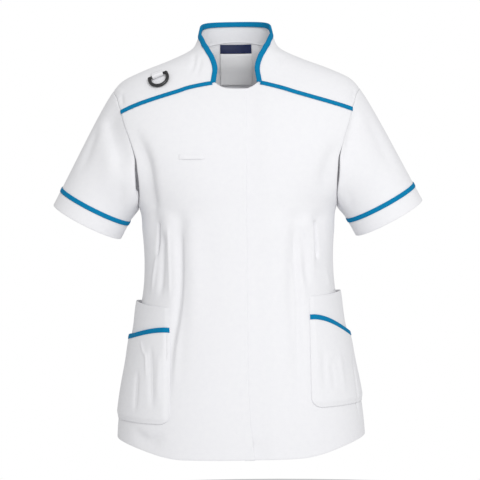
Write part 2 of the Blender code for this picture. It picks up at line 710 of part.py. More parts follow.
def build_label(name, heights, material, collection):
    """One part of the neck label, on the inside of the back."""
    x = np.linspace(-LABEL_HALF_WIDTH, LABEL_HALF_WIDTH, 7)[:, None]
    z = np.linspace(*heights, 4)[None, :]
    places = np.stack([180 - front_angle(x, z), z + 0 * x], axis=-1)
    near = -CLOTH - LINED_UP_GAP
    wall(name, on_form(places, near), on_form(places, near - LABEL_CLOTH), material, collection)


def shoulder_frame():
    """The place of the ring's bar: its point on the form, along the bar, down and out."""
    angle = float(front_angle(*RING_PLACE))
    place = np.array([angle, RING_PLACE[1]])
    point = Vector(on_form(place))
    out = Vector(form_normal(angle, RING_PLACE[1]))
    along = (RING_BAR_SLOPE - out * RING_BAR_SLOPE.dot(out)).normalized()
    down = along.cross(out)
    if down.z > 0:
        down = -down
    return place, point, along, down, out


def build_ring(black, collection):
    """The D-ring, hinged on its bar inside the tab and lying on the yoke."""
    place, point, along, down, out = shoulder_frame()
    bar_lift = TAB_LIFT + TAB_CLOTH + TAB_BAR_CLEARANCE + RING_WIRE
    reach = RING_ARC_CENTRE + RING_ARC_RADIUS
    foot = Vector(on_form(step_on_form(place, np.array(down) * reach)))
    rest_lift = out.dot(foot - point) + RING_WIRE + RING_REST_GAP
    tilt = math.asin((bar_lift - rest_lift) / reach)
    lying = down * math.cos(tilt) - out * math.sin(tilt)
    turn = Matrix((along, lying, along.cross(lying))).transposed().to_4x4()

    path = [(RING_BAR_HALF * s, 0.0) for s in (-1, -0.33, 0.33, 1)]
    path.append((RING_ARC_RADIUS, RING_CORNER))
    for angle in np.linspace(0, 180, RING_POINTS):
        path.append((RING_ARC_RADIUS * math.cos(math.radians(angle)),
                     RING_ARC_CENTRE + RING_ARC_RADIUS * math.sin(math.radians(angle))))
    path.append((-RING_ARC_RADIUS, RING_CORNER))
    curve = bpy.data.curves.new("d_ring", "CURVE")
    curve.dimensions = "3D"
    curve.bevel_depth = RING_WIRE * MM
    curve.bevel_resolution = 2
    spline = curve.splines.new("POLY")
    spline.points.add(len(path) - 1)
    for spot, (u, v) in zip(spline.points, path):
        spot.co = (u * MM, v * MM, 0, 1)
    spline.use_cyclic_u = True
    ring = add_object("d_ring", curve, black, collection)
    ring.matrix_world = Matrix.Translation((point + out * bar_lift) * MM) @ turn


def build_tab(white, collection):
    """The cloth tab, one strip folded round the ring's bar."""
    _, point, along, down, out = shoulder_frame()
    middle = TAB_LIFT + TAB_CLOTH / 2
    bar_lift = TAB_LIFT + TAB_CLOTH + TAB_BAR_CLEARANCE + RING_WIRE
    radius = bar_lift - middle
    upper = middle + TAB_CLOTH + TAB_LAYER_GAP
    path = [(-TAB_LENGTH, middle), (-TAB_LENGTH * TAB_LOWER_TURN, middle)]
    for angle in np.linspace(*TAB_LOOP_ANGLES, 11):
        path.append((radius * math.cos(math.radians(angle)),
                     bar_lift + radius * math.sin(math.radians(angle))))
    path = np.array(path + [*TAB_WAIST, (-TAB_LENGTH, upper)])
    ahead = np.gradient(path, axis=0)
    ahead /= np.linalg.norm(ahead, axis=-1, keepdims=True)
    side = np.stack([ahead[:, 1], -ahead[:, 0]], axis=-1) * TAB_CLOTH / 2
    grids = []
    for line in (path + side, path - side):
        row = np.array([point]) + line[:, :1] * np.array(down) + line[:, 1:] * np.array(out)
        grids.append(np.stack([row + np.array(along) * TAB_HALF_WIDTH * s for s in (-1, 1)], axis=1))
    wall("ring_tab", grids[0], grids[1], white, collection)


def main():
    """Build the tunic in a collection of its own."""
    for item in list(bpy.data.objects):
        bpy.data.objects.remove(item)
    collection = bpy.data.collections.new("maternity_tunic")
    bpy.context.scene.collection.children.link(collection)
    white, blue = (WHITE_CLOTH, 0.8), (TRIM_BLUE, 0.6)

    build_fronts(white, collection)
    collar = build_back(white, collection)
    for side, name in ((-1, "right"), (1, "left")):
        yoke = build_yoke(side, name, white, collection)
        build_yoke_piping(side, name, blue, collection)
        build_sleeve(side, name, white, blue, collection)
        build_pockets(side, name, white, blue, collection)
    build_collar_binding(yoke, collar, blue, collection)
    build_chest_mouth(white, collection)
    build_label("label_strip", LABEL_STRIP_Z, (LABEL_NAVY, 0.6), collection)
    build_label("label_panel", LABEL_PANEL_Z, (LABEL_WHITE, 0.6), collection)
    build_tab(white, collection)
    build_ring((RING_BLACK, 0.35), collection)


main()
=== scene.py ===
"""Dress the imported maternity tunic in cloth, trims, stitches, its label and its ring.

Every cloth piece is a fine thin shell over the same smooth form as its solid. The form is a
stack of rounded rings. A place on it is an angle round it (0 at centre front, 90 at the
wearer's left side, 180 at centre back) and a height. Sizes are in millimetres until a mesh
is made. The front faces -Y and +Z is up.
"""
import logging
import math
from dataclasses import dataclass
from enum import Enum
from typing import NamedTuple

import bmesh
import bpy
import numpy as np
from mathutils import Matrix, Vector


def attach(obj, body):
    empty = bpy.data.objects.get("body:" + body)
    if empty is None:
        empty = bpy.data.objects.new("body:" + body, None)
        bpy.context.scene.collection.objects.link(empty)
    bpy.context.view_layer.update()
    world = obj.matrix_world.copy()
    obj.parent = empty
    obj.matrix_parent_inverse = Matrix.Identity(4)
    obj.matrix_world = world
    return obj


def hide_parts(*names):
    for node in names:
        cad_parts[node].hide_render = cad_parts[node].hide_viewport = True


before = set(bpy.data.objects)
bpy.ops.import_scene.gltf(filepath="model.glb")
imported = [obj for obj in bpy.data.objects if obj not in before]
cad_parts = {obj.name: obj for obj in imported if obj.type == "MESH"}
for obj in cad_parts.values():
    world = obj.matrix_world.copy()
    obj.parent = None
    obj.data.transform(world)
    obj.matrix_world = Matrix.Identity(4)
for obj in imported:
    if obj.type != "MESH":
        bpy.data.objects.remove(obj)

log = logging.getLogger("tunic")

MM = 0.001
TUNIC = "tunic"
RING = "ring"

# Rings of the form: height, half width, depth in front, depth behind, squareness
HALF_WIDTH, FRONT_DEPTH, BACK_DEPTH, SQUARENESS = 1, 2, 3, 4
RINGS = (
    (70, 62, 56, 56, 2.1),
    (46, 64, 57, 56, 2.1),
    (27, 69, 59, 57, 2.1),
    (9, 81, 60, 58, 2.1),
    (-9, 118, 64, 64, 2.15),
    (-27, 165, 71, 75, 2.2),
    (-45, 203, 79, 85, 2.3),
    (-60, 218, 87, 92, 2.4),
    (-86, 231, 100, 101, 2.5),
    (-130, 238, 115, 108, 2.6),
    (-176, 230, 124, 109, 2.6),
    (-230, 203, 129, 105, 2.5),
    (-255, 188, 130, 101, 2.4),
    (-274, 177, 130, 99, 2.35),
    (-315, 172, 132, 94, 2.3),
    (-370, 169, 135, 90, 2.3),
    (-425, 172.5, 141, 96, 2.3),
    (-477, 184, 147, 109, 2.3),
    (-513, 194, 151, 117, 2.3),
    (-549, 202, 155, 123, 2.3),
    (-585, 210, 158, 129, 2.3),
    (-621, 216, 161, 134, 2.3),
    (-657, 220, 163, 138, 2.3),
    (-705, 223, 165, 142, 2.3),
)

# Tucks and their folds: facing (1 front, -1 back), share of the half width at the top and
# at the bottom, height of the top and of the bottom, half width, how far it stands out
TUCKS = (
    (1, -0.84, -0.86, -300, -400, 12, -4.0),
    (1, -0.70, -0.72, -300, -420, 13, 3.0),
    (1, -0.585, -0.50, -300, -610, 13, -4.0),
    (1, -0.46, -0.40, -310, -520, 18, 2.5),
    (1, 0.81, 0.84, -300, -400, 12, -4.0),
    (1, 0.70, 0.74, -310, -420, 13, 3.0),
    (1, 0.585, 0.45, -300, -640, 13, -4.0),
    (1, 0.46, 0.36, -320, -500, 18, 2.5),
    (-1, -0.62, -0.56, -300, -600, 16, -4.0),
    (-1, -0.44, -0.38, -300, -520, 18, 3.0),
    (-1, 0.60, 0.55, -300, -620, 16, -4.0),
    (-1, 0.42, 0.36, -300, -500, 18, 3.0),
)
TUCK_START = 25.0
TUCK_FADE = 110.0

# Steps over which the form's directions are measured, in degrees and in millimetres
TURN_STEP = 0.6
RISE_STEP = 1.5

# Cells along each seam at a fineness of 1. Seams that face each other have as many in all.
SIDE_CELLS, FRONT_ARM_CELLS, BACK_ARM_CELLS, YOKE_ARM_CELLS, SHOULDER_CELLS = 14, 6, 8, 10, 9
COLLAR_SIDE_CELLS, COLLAR_FRONT_CELLS, YOKE_LINE_CELLS, NECK_CELLS, BACK_CELLS = 4, 10, 13, 4, 24

# How closely smooth seams are drawn before they are cut into even cells
SEAM_SAMPLES = 48
BACK_KNOTS = 37
HEM_KNOTS = 25

# How far above a crease's line a layer of cloth may lie and still be folded by it, and how
# many cells such a line is cut into
LAYERS = 12.0
CREASE_CELLS = 24

# Turns, in radians, at which the rounded edge of a turned hem is drawn
FOLD_TURNS = (-0.6, 0.0, 0.6)

# One stitch: segments of its thread, how high its middle rises and its ends sink
STITCH_SEGMENTS = 5
STITCH_RISE = 0.5
STITCH_SINK = 1.2

# Where the panels meet, as distance from the centre line and height
NECK_POINT = (37.0, -59.0)
YOKE_ARMHOLE = (202.3, -107.0)
NECKLINE_Z = -71.0
SHOULDER_TIP_Z = -60.0
UNDERARM_Z = -274.0
NECK_SEAM_SIDE_Z = 8.0
NECK_SEAM_BACK_Z = 30.0
COLLAR_SIDE_TOP_Z = 44.0
COLLAR_BACK_TOP_Z = 67.0
COLLAR_TOP_ROUNDNESS = 0.45
NECK_SEAM_ROUNDNESS = 1.5
COLLAR_EDGE = (NECK_POINT, (34.6, -41), (34.2, -29), (37, -17.5), (42, -5.5), (48.5, 6.5),
               (55, 17), (60, 28))
YOKE_SEAM_RIGHT = (NECK_POINT, (80, -67), (104, -74.5), (140, -85), (172, -95), YOKE_ARMHOLE)
YOKE_SEAM_LEFT = (NECK_POINT, (80, -70.5), (104, -78.5), (140, -89), (172, -98), YOKE_ARMHOLE)
YOKE_ARM_EDGE = (YOKE_ARMHOLE, (205.5, -98), (214, -75))
FRONT_ARM_EDGE = ((174.8, -262), (174, -240), (176.3, -211), (180, -185), (190, -148), YOKE_ARMHOLE)
BACK_ARM_EDGE = ((176, -262), (177, -240), (180, -211), (184, -185), (192, -148), (203, -107),
                 (207, -96), (215, -75))
LAP_EDGE = ((-60, 16), (-300, 14), (-560, 12.5), (-640, 15), (-705, 22))
HEM_FRONT_Z = -702.5
HEM_SIDE_RISE = 24.0
HEM_RISE_START = 0.38
HEM_RISE_REACH = 0.7


class Side(Enum):
    """A side of the wearer, as the sign of its X."""

    RIGHT = -1
    LEFT = 1

    @property
    def word(self) -> str:
        """The word that ends the names of this side's pieces."""
        return self.name.lower()


class Held(Enum):
    """How a sheet of cloth is held."""

    HUNG = "hung"
    FOLDED = "folded"


def ease(value: np.ndarray) -> np.ndarray:
    """Rise smoothly from 0 to 1 as the value goes from 0 to 1."""
    value = np.clip(value, 0.0, 1.0)
    return value * value * (3 - 2 * value)


def unit(vectors: np.ndarray) -> np.ndarray:
    """Vectors of the same directions and of length 1."""
    return vectors / np.maximum(np.linalg.norm(vectors, axis=-1, keepdims=True), 1e-9)


def walked_along(points: np.ndarray) -> np.ndarray:
    """Length of a line of points up to each of them."""
    return np.concatenate([[0], np.cumsum(np.linalg.norm(np.diff(points, axis=0), axis=1))])


@dataclass(frozen=True)
class Form:
    """The smooth shape that the garment is filled out to."""

    rings: tuple = RINGS
    tucks: tuple = TUCKS

    def column(self, column: int, z: np.ndarray) -> np.ndarray:
        """Read one column of the rings on a smooth curve.

        Args:
            column: Which column of the table.
            z: Heights.

        Returns:
            The values at those heights.
        """
        rows = np.array(self.rings, dtype=float)[::-1]
        heights, values = rows[:, 0], rows[:, column]
        slopes = np.gradient(values, heights)
        z = np.clip(z, heights[0], heights[-1])
        k = np.clip(np.searchsorted(heights, z) - 1, 0, len(heights) - 2)
        step = heights[k + 1] - heights[k]
        t = (z - heights[k]) / step
        start = (1 + 2 * t) * (1 - t) ** 2 * values[k] + t * (1 - t) ** 2 * step * slopes[k]
        end = t * t * (3 - 2 * t) * values[k + 1] + t * t * (t - 1) * step * slopes[k + 1]
        return start + end

    def tuck_height(self, share: np.ndarray, facing: np.ndarray, half_width: np.ndarray,
                    z: np.ndarray) -> np.ndarray:
        """How far the broad folds under the tucks stand out.

        Args:
            share: Distance from the centre line as a share of the half width.
            facing: 1 in front and -1 behind.
            half_width: The form's half width at each point.
            z: Heights.

        Returns:
            Distances out of the form.
        """
        height = np.zeros(np.broadcast(share, z).shape)
        for face, share_top, share_bottom, z_top, z_bottom, reach, lift in self.tucks:
            along = np.clip((z_top - z) / (z_top - z_bottom), 0, 1)
            middle = share_top + (share_bottom - share_top) * along
            across = (share - middle) * half_width / reach
            window = ease((z_top + TUCK_START - z) / TUCK_START) * ease((z - z_bottom) / TUCK_FADE)
            height = height + lift * np.exp(-across ** 2) * window * (facing == face)
        return height

    def point(self, angle: np.ndarray, z: np.ndarray) -> np.ndarray:
        """The points of the form at angles in degrees and heights.

        Args:
            angle: Angles in degrees.
            z: Heights.

        Returns:
            The points.
        """
        angle, z = np.broadcast_arrays(np.asarray(angle, float), np.asarray(z, float))
        sine, cosine = np.sin(np.radians(angle)), np.cos(np.radians(angle))
        power = 2 / self.column(SQUARENESS, z)
        half_width = self.column(HALF_WIDTH, z)
        front, back = self.column(FRONT_DEPTH, z), self.column(BACK_DEPTH, z)
        share = np.sign(sine) * np.abs(sine) ** power
        x = half_width * share
        y = -np.where(cosine > 0, front, back) * np.sign(cosine) * np.abs(cosine) ** power
        swell = 1 + self.tuck_height(share, np.sign(cosine), half_width, z) / np.hypot(x, y)
        return np.stack([x * swell, y * swell, z], axis=-1)

    def normal(self, angle: np.ndarray, z: np.ndarray) -> np.ndarray:
        """The directions straight out of the form.

        Args:
            angle: Angles in degrees.
            z: Heights.

        Returns:
            Unit vectors.
        """
        along = self.point(angle + TURN_STEP, z) - self.point(angle - TURN_STEP, z)
        up = self.point(angle, z + RISE_STEP) - self.point(angle, z - RISE_STEP)
        return unit(np.cross(along, up))

    def on(self, places: np.ndarray, out: float | np.ndarray = 0.0) -> np.ndarray:
        """Points over places, rows of (angle, height), moved out of the form."""
        angle, z = places[..., 0], places[..., 1]
        return self.point(angle, z) + self.normal(angle, z) * np.asarray(out, float)[..., None]

    def shifted(self, places: np.ndarray, move: np.ndarray) -> np.ndarray:
        """Places after their points are moved along the form.

        Args:
            places: Rows of (angle, height).
            move: How far each point moves, as a vector that lies along the form.

        Returns:
            The new places.
        """
        angle, z = places[..., 0], places[..., 1]
        around = self.point(angle + 0.5, z) - self.point(angle - 0.5, z)
        upward = (self.point(angle, z + 1) - self.point(angle, z - 1)) / 2
        aa, au, uu = (np.sum(p * q, -1) for p, q in ((around, around), (around, upward),
                                                     (upward, upward)))
        ma, mu = np.sum(move * around, -1), np.sum(move * upward, -1)
        det = aa * uu - au * au
        return places + np.stack([(ma * uu - mu * au) / det, (mu * aa - ma * au) / det], axis=-1)

    def front_angle(self, x: np.ndarray, z: np.ndarray) -> np.ndarray:
        """The angles, in front, of the points at distance x from the centre line.

        Args:
            x: Distances from the centre line.
            z: Heights.

        Returns:
            Angles in degrees.
        """
        share = np.abs(x) / self.column(HALF_WIDTH, z)
        power = self.column(SQUARENESS, z) / 2
        return np.sign(x) * np.degrees(np.arcsin(np.clip(share, 0, 1) ** power))

    def places(self, x: np.ndarray, z: np.ndarray) -> np.ndarray:
        """The places, in front, of points at distance x from the centre line."""
        return np.stack([self.front_angle(x, z), z], axis=-1)

    def in_front(self, points: list) -> list:
        """Turn (distance, height) pairs of the front into places."""
        return [(float(self.front_angle(x, z)), z) for x, z in points]

    def behind(self, points: list) -> list:
        """Turn (distance, height) pairs of the back into places."""
        return [(180 - float(self.front_angle(x, z)), z) for x, z in points]

    def seam(self, places: list, cells: int) -> np.ndarray:
        """A smooth curve through places.

        Args:
            places: The places that it goes through, in order.
            cells: How many cells of even length it is cut into.

        Returns:
            One place at each end of every cell.
        """
        knots = np.array([places[0]] + list(places) + [places[-1]], dtype=float)
        t = np.linspace(0, 1, SEAM_SAMPLES, endpoint=False)[:, None]
        parts = [0.5 * (2 * b + (c - a) * t + (2 * a - 5 * b + 4 * c - d) * t ** 2
                        + (3 * b - a - 3 * c + d) * t ** 3)
                 for a, b, c, d in zip(knots, knots[1:], knots[2:], knots[3:])]
        dense = np.concatenate(parts + [knots[-1:]])
        length = walked_along(self.on(dense))
        marks = np.linspace(0, length[-1], cells + 1)
        return np.stack([np.interp(marks, length, dense[:, k]) for k in (0, 1)], axis=-1)


FORM = Form()


def join(*seams: np.ndarray) -> np.ndarray:
    """One seam from several that meet end to end."""
    return np.concatenate([seams[0]] + [part[1:] for part in seams[1:]])


def mirrored(places: np.ndarray, side: Side) -> np.ndarray:
    """The same places on the given side of the wearer."""
    return places * np.array([side.value, 1.0])


def across_back(places: np.ndarray) -> np.ndarray:
    """The same places on the other side of the centre back."""
    return places * np.array([-1, 1]) + np.array([360, 0])


def flipped(points: np.ndarray, side: Side) -> np.ndarray:
    """The same points on the given side of the wearer."""
    return points * np.array([side.value, 1.0, 1.0])


def hem_z(angle: np.ndarray) -> np.ndarray:
    """Height of the hem, which rises towards the side seams."""
    aside = np.abs(np.sin(np.radians(angle)))
    return HEM_FRONT_Z + HEM_SIDE_RISE * ease((aside - HEM_RISE_START) / HEM_RISE_REACH)


def shares(columns: int, rows: int, start: float = 0.0) -> tuple:
    """Shares across and up a grid of points, which run to 1."""
    return np.meshgrid(np.linspace(start, 1, columns), np.linspace(0, 1, rows), indexing="ij")


def coons(bottom: np.ndarray, top: np.ndarray, left: np.ndarray, right: np.ndarray) -> np.ndarray:
    """Fill four seams that meet at their ends.

    Args:
        bottom: Places from the left corner to the right one.
        top: The same, along the top.
        left: Places from the bottom corner to the top one.
        right: The same, along the right.

    Returns:
        A grid of places, columns first.
    """
    u = np.linspace(0, 1, len(bottom))[:, None, None]
    v = np.linspace(0, 1, len(left))[None, :, None]
    sides = (1 - u) * left[None] + u * right[None]
    ends = (1 - v) * bottom[:, None] + v * top[:, None]
    corners = (1 - u) * ((1 - v) * bottom[0] + v * top[0]) + u * ((1 - v) * bottom[-1] + v * top[-1])
    return sides + ends - corners


@dataclass(frozen=True)
class SeamLines:
    """The seams that the panels share, on the wearer's left, from the bottom up or centre out."""

    fine: int = 1

    def side(self) -> np.ndarray:
        """The side seam from the hem to the underarm."""
        places = [(90, float(hem_z(90))), (90, -500), (90, -400), (90, UNDERARM_Z)]
        return FORM.seam(places, SIDE_CELLS * self.fine)

    def front_arm(self) -> np.ndarray:
        """The armhole from the underarm up the front to the yoke."""
        places = [(90, UNDERARM_Z)] + FORM.in_front(FRONT_ARM_EDGE)
        return FORM.seam(places, FRONT_ARM_CELLS * self.fine)

    def back_arm(self) -> np.ndarray:
        """The armhole from the underarm up the back to the shoulder tip."""
        places = [(90, UNDERARM_Z)] + FORM.behind(BACK_ARM_EDGE) + [(90, SHOULDER_TIP_Z)]
        return FORM.seam(places, BACK_ARM_CELLS * self.fine)

    def yoke_arm(self) -> np.ndarray:
        """The armhole along the yoke, up to the shoulder tip."""
        places = FORM.in_front(YOKE_ARM_EDGE) + [(90, SHOULDER_TIP_Z)]
        return FORM.seam(places, YOKE_ARM_CELLS * self.fine)

    def shoulder(self) -> np.ndarray:
        """The shoulder seam, from the tip to the neck."""
        places = [(90, SHOULDER_TIP_Z), (90, -40), (90, -15), (90, NECK_SEAM_SIDE_Z)]
        return FORM.seam(places, SHOULDER_CELLS * self.fine)

    def collar_side(self) -> np.ndarray:
        """The seam between the back collar and the collar on the yoke."""
        places = [(90, NECK_SEAM_SIDE_Z), (90, 27), (90, COLLAR_SIDE_TOP_Z)]
        return FORM.seam(places, COLLAR_SIDE_CELLS * self.fine)

    def collar_front(self) -> np.ndarray:
        """The free front edge of the collar."""
        places = FORM.in_front(COLLAR_EDGE) + [(90, COLLAR_SIDE_TOP_Z)]
        return FORM.seam(places, COLLAR_FRONT_CELLS * self.fine)

    def yoke_line(self, side: Side) -> np.ndarray:
        """The seam between one yoke and its front, as on the wearer's left."""
        seam = YOKE_SEAM_LEFT if side is Side.LEFT else YOKE_SEAM_RIGHT
        return FORM.seam(FORM.in_front(seam), YOKE_LINE_CELLS * self.fine)


def round_back(side_z: float, back_z: float, roundness: float, cells: int) -> np.ndarray:
    """A seam round the back between the two sides, highest at the centre.

    Args:
        side_z: Its height at both sides.
        back_z: Its height at the centre back.
        roundness: How long it stays low before it rises to the centre.
        cells: How many cells it is cut into.

    Returns:
        Its places, from the wearer's left.
    """
    angles = np.linspace(90, 270, BACK_KNOTS)
    rise = np.abs(np.cos(np.radians(angles))) ** roundness
    return FORM.seam([(a, side_z + (back_z - side_z) * r) for a, r in zip(angles, rise)], cells)


def along_hem(start: float, end: float, cells: int) -> np.ndarray:
    """The hem between two angles."""
    knots = np.linspace(start, end, HEM_KNOTS)
    return FORM.seam([(angle, float(hem_z(angle))) for angle in knots], cells)


def lap_x(z: np.ndarray) -> np.ndarray:
    """Distance of the lap's edge from the centre line."""
    rows = sorted(LAP_EDGE)
    return np.interp(z, [row[0] for row in rows], [row[1] for row in rows])


@dataclass(frozen=True)
class Crease:
    """One soft fold of the cloth, along a line that fades out at both its ends.

    Seen from outside with the line running down, width is to the right and far_width to the
    left. The fades are shares of the line's length.
    """

    line: tuple
    lift: float
    width: float
    far_width: float = 0.0
    fade_in: float = 0.3
    fade_out: float = 0.4
    behind: bool = False

    def route(self) -> np.ndarray:
        """The line's points on the form, close together."""
        turn = FORM.behind if self.behind else FORM.in_front
        return FORM.on(FORM.seam(turn(self.line), CREASE_CELLS))


def fold_depth(points: np.ndarray, normals: np.ndarray, creases: list) -> np.ndarray:
    """How far the creases near each point lift the cloth there.

    Args:
        points: A grid of points on the cloth.
        normals: The way out of the cloth at each point.
        creases: Pairs of a crease and the points of its line.

    Returns:
        Distances out of the cloth, negative where it sinks.
    """
    flat, way = points.reshape(-1, 3), normals.reshape(-1, 3)
    total = np.zeros(len(flat))
    for crease, route in creases:
        reach = 3 * max(crease.width, crease.far_width)
        near = np.all((flat > route.min(0) - reach) & (flat < route.max(0) + reach), axis=1)
        if not near.any():
            continue
        here, out = flat[near], way[near]
        start, step = route[:-1], np.diff(route, axis=0)
        offset = here[:, None] - start[None]
        length = np.sum(step * step, axis=-1)
        t = np.clip(np.sum(offset * step[None], axis=-1) / length, 0, 1)
        gap = offset - t[..., None] * step[None]
        above = np.clip(np.sum(gap * out[:, None], axis=-1, keepdims=True), -LAYERS, LAYERS)
        gap -= above * out[:, None]
        distance = np.linalg.norm(gap, axis=-1)
        nearest = np.argmin(distance, axis=1)
        row = np.arange(len(here))
        along = (nearest + t[row, nearest]) / len(step)
        side = np.sum(np.cross(out, step[nearest]) * gap[row, nearest], axis=-1)
        width = np.where(side >= 0, crease.width, crease.far_width or crease.width)
        fade = ease(along / crease.fade_in) * ease((1 - along) / crease.fade_out)
        total[near] += crease.lift * np.exp(-(distance[row, nearest] / width) ** 2) * fade
    return total.reshape(points.shape[:-1])


@dataclass(frozen=True)
class SeamDip:
    """A sewn seam: the cloth sinks into it and puckers a little beside it."""

    route: np.ndarray
    depth: float = 0.7
    width: float = 1.9
    pucker: float = 0.22
    pucker_reach: float = 8.0
    pucker_step: float = 11.0
    wander: tuple = ((2.1, 37.0), (1.3, 17.3))
    calm: float = 0.4
    calm_step: float = 23.0

    def depth_at(self, points: np.ndarray) -> np.ndarray:
        """How far the seam moves each point out of the cloth.

        Args:
            points: A grid of points on the cloth.

        Returns:
            Distances out of the cloth, negative where it sinks.
        """
        flat = points.reshape(-1, 3)
        total = np.zeros(len(flat))
        reach = 3 * self.pucker_reach
        near = np.all((flat > self.route.min(0) - reach) & (flat < self.route.max(0) + reach), axis=1)
        if not near.any():
            return total.reshape(points.shape[:-1])
        here = flat[near]
        best = np.full(len(here), 1e9)
        mark = np.zeros(len(here))
        walked = walked_along(self.route)
        for k in range(len(self.route) - 1):
            step = self.route[k + 1] - self.route[k]
            size = max(float(step @ step), 1e-9)
            t = np.clip((here - self.route[k]) @ step / size, 0, 1)
            distance = np.linalg.norm(here - self.route[k] - t[:, None] * step, axis=1)
            closer = distance < best
            best = np.where(closer, distance, best)
            mark = np.where(closer, walked[k] + t * math.sqrt(size), mark)
        wander = sum(turn * np.sin(mark / step) for turn, step in self.wander)
        ripple = np.sin(2 * math.pi * mark / self.pucker_step + wander)
        ripple *= 1 - self.calm + self.calm * np.sin(mark / self.calm_step + 1.0)
        total[near] = (self.pucker * ripple * np.exp(-(best / self.pucker_reach) ** 2)
                       - self.depth * np.exp(-(best / self.width) ** 2))
        return total.reshape(points.shape[:-1])


@dataclass
class Cloth:
    """A grid of points on the outside of one cloth piece, with the way out at each."""

    points: np.ndarray
    normals: np.ndarray

    @classmethod
    def over(cls, places: np.ndarray, out: float | np.ndarray = 0.0) -> "Cloth":
        """Cloth over places on the form, moved out of it."""
        return cls(FORM.on(places, out), FORM.normal(places[..., 0], places[..., 1]))

    def lifted(self, distance: float | np.ndarray) -> "Cloth":
        """The same cloth moved out by a distance."""
        return Cloth(self.points + self.normals * np.asarray(distance, float)[..., None], self.normals)

    def turned(self) -> "Cloth":
        """The same cloth with rows and columns exchanged."""
        return Cloth(self.points.swapaxes(0, 1), self.normals.swapaxes(0, 1))

    def backward(self) -> "Cloth":
        """The same cloth with its rows in the opposite order."""
        return Cloth(self.points[:, ::-1], self.normals[:, ::-1])

    def row(self, distance: float) -> tuple:
        """A line of points and normals at a distance in from the first row.

        Args:
            distance: How far in from the first row, along the cloth.

        Returns:
            The points of the line and the way out at each.
        """
        steps = np.linalg.norm(np.diff(self.points, axis=1), axis=-1)
        walked = np.concatenate([np.zeros((len(steps), 1)), np.cumsum(steps, axis=1)], axis=1)
        after = np.clip(np.sum(walked < distance, axis=1), 1, walked.shape[1] - 1)
        column = np.arange(len(after))
        share = (distance - walked[column, after - 1]) / steps[column, after - 1]
        share = np.clip(share, 0, 1)[:, None]
        points = self.points[column, after - 1] * (1 - share) + self.points[column, after] * share
        return points, self.normals[column, after]

    def turn_under(self, width: float, gap: float) -> "Cloth":
        """Fold the first rows under, as a hem is turned.

        Args:
            width: How wide the turning is.
            gap: Distance between the outer faces of the two layers.

        Returns:
            The cloth with the rows of the turning before its first row.
        """
        edge, way_in = self.points[:, 0], self.points[:, 1] - self.points[:, 0]
        normal = self.normals[:, 0]
        walked = np.linalg.norm(np.diff(self.points, axis=1), axis=-1).cumsum(axis=1).mean(axis=0)
        count = max(2, int(np.searchsorted(walked, width)) + 1)
        out = -unit(way_in)
        rows = [self.points[:, k] - self.normals[:, k] * gap for k in range(count, -1, -1)]
        looks = [self.normals[:, k] for k in range(count, -1, -1)]
        for turn in FOLD_TURNS:
            rows.append(edge - normal * gap / 2 + normal * (gap / 2 * math.sin(turn))
                        + out * (gap / 2 * math.cos(turn)))
            looks.append(normal)
        under, under_normals = np.stack(rows, axis=1), np.stack(looks, axis=1)
        return Cloth(np.concatenate([under, self.points], axis=1),
                     np.concatenate([under_normals, self.normals], axis=1))


@dataclass(frozen=True)
class Cut:
    """The flat cut of a piece as it shows, in metres, and how the piece is held."""

    width: float
    length: float
    area: float | None = None
    held: Held = Held.HUNG


class Stuff(NamedTuple):
    """What a piece is made of: a material, and a slot name, which is not used."""

    material: bpy.types.Material
    slot: str


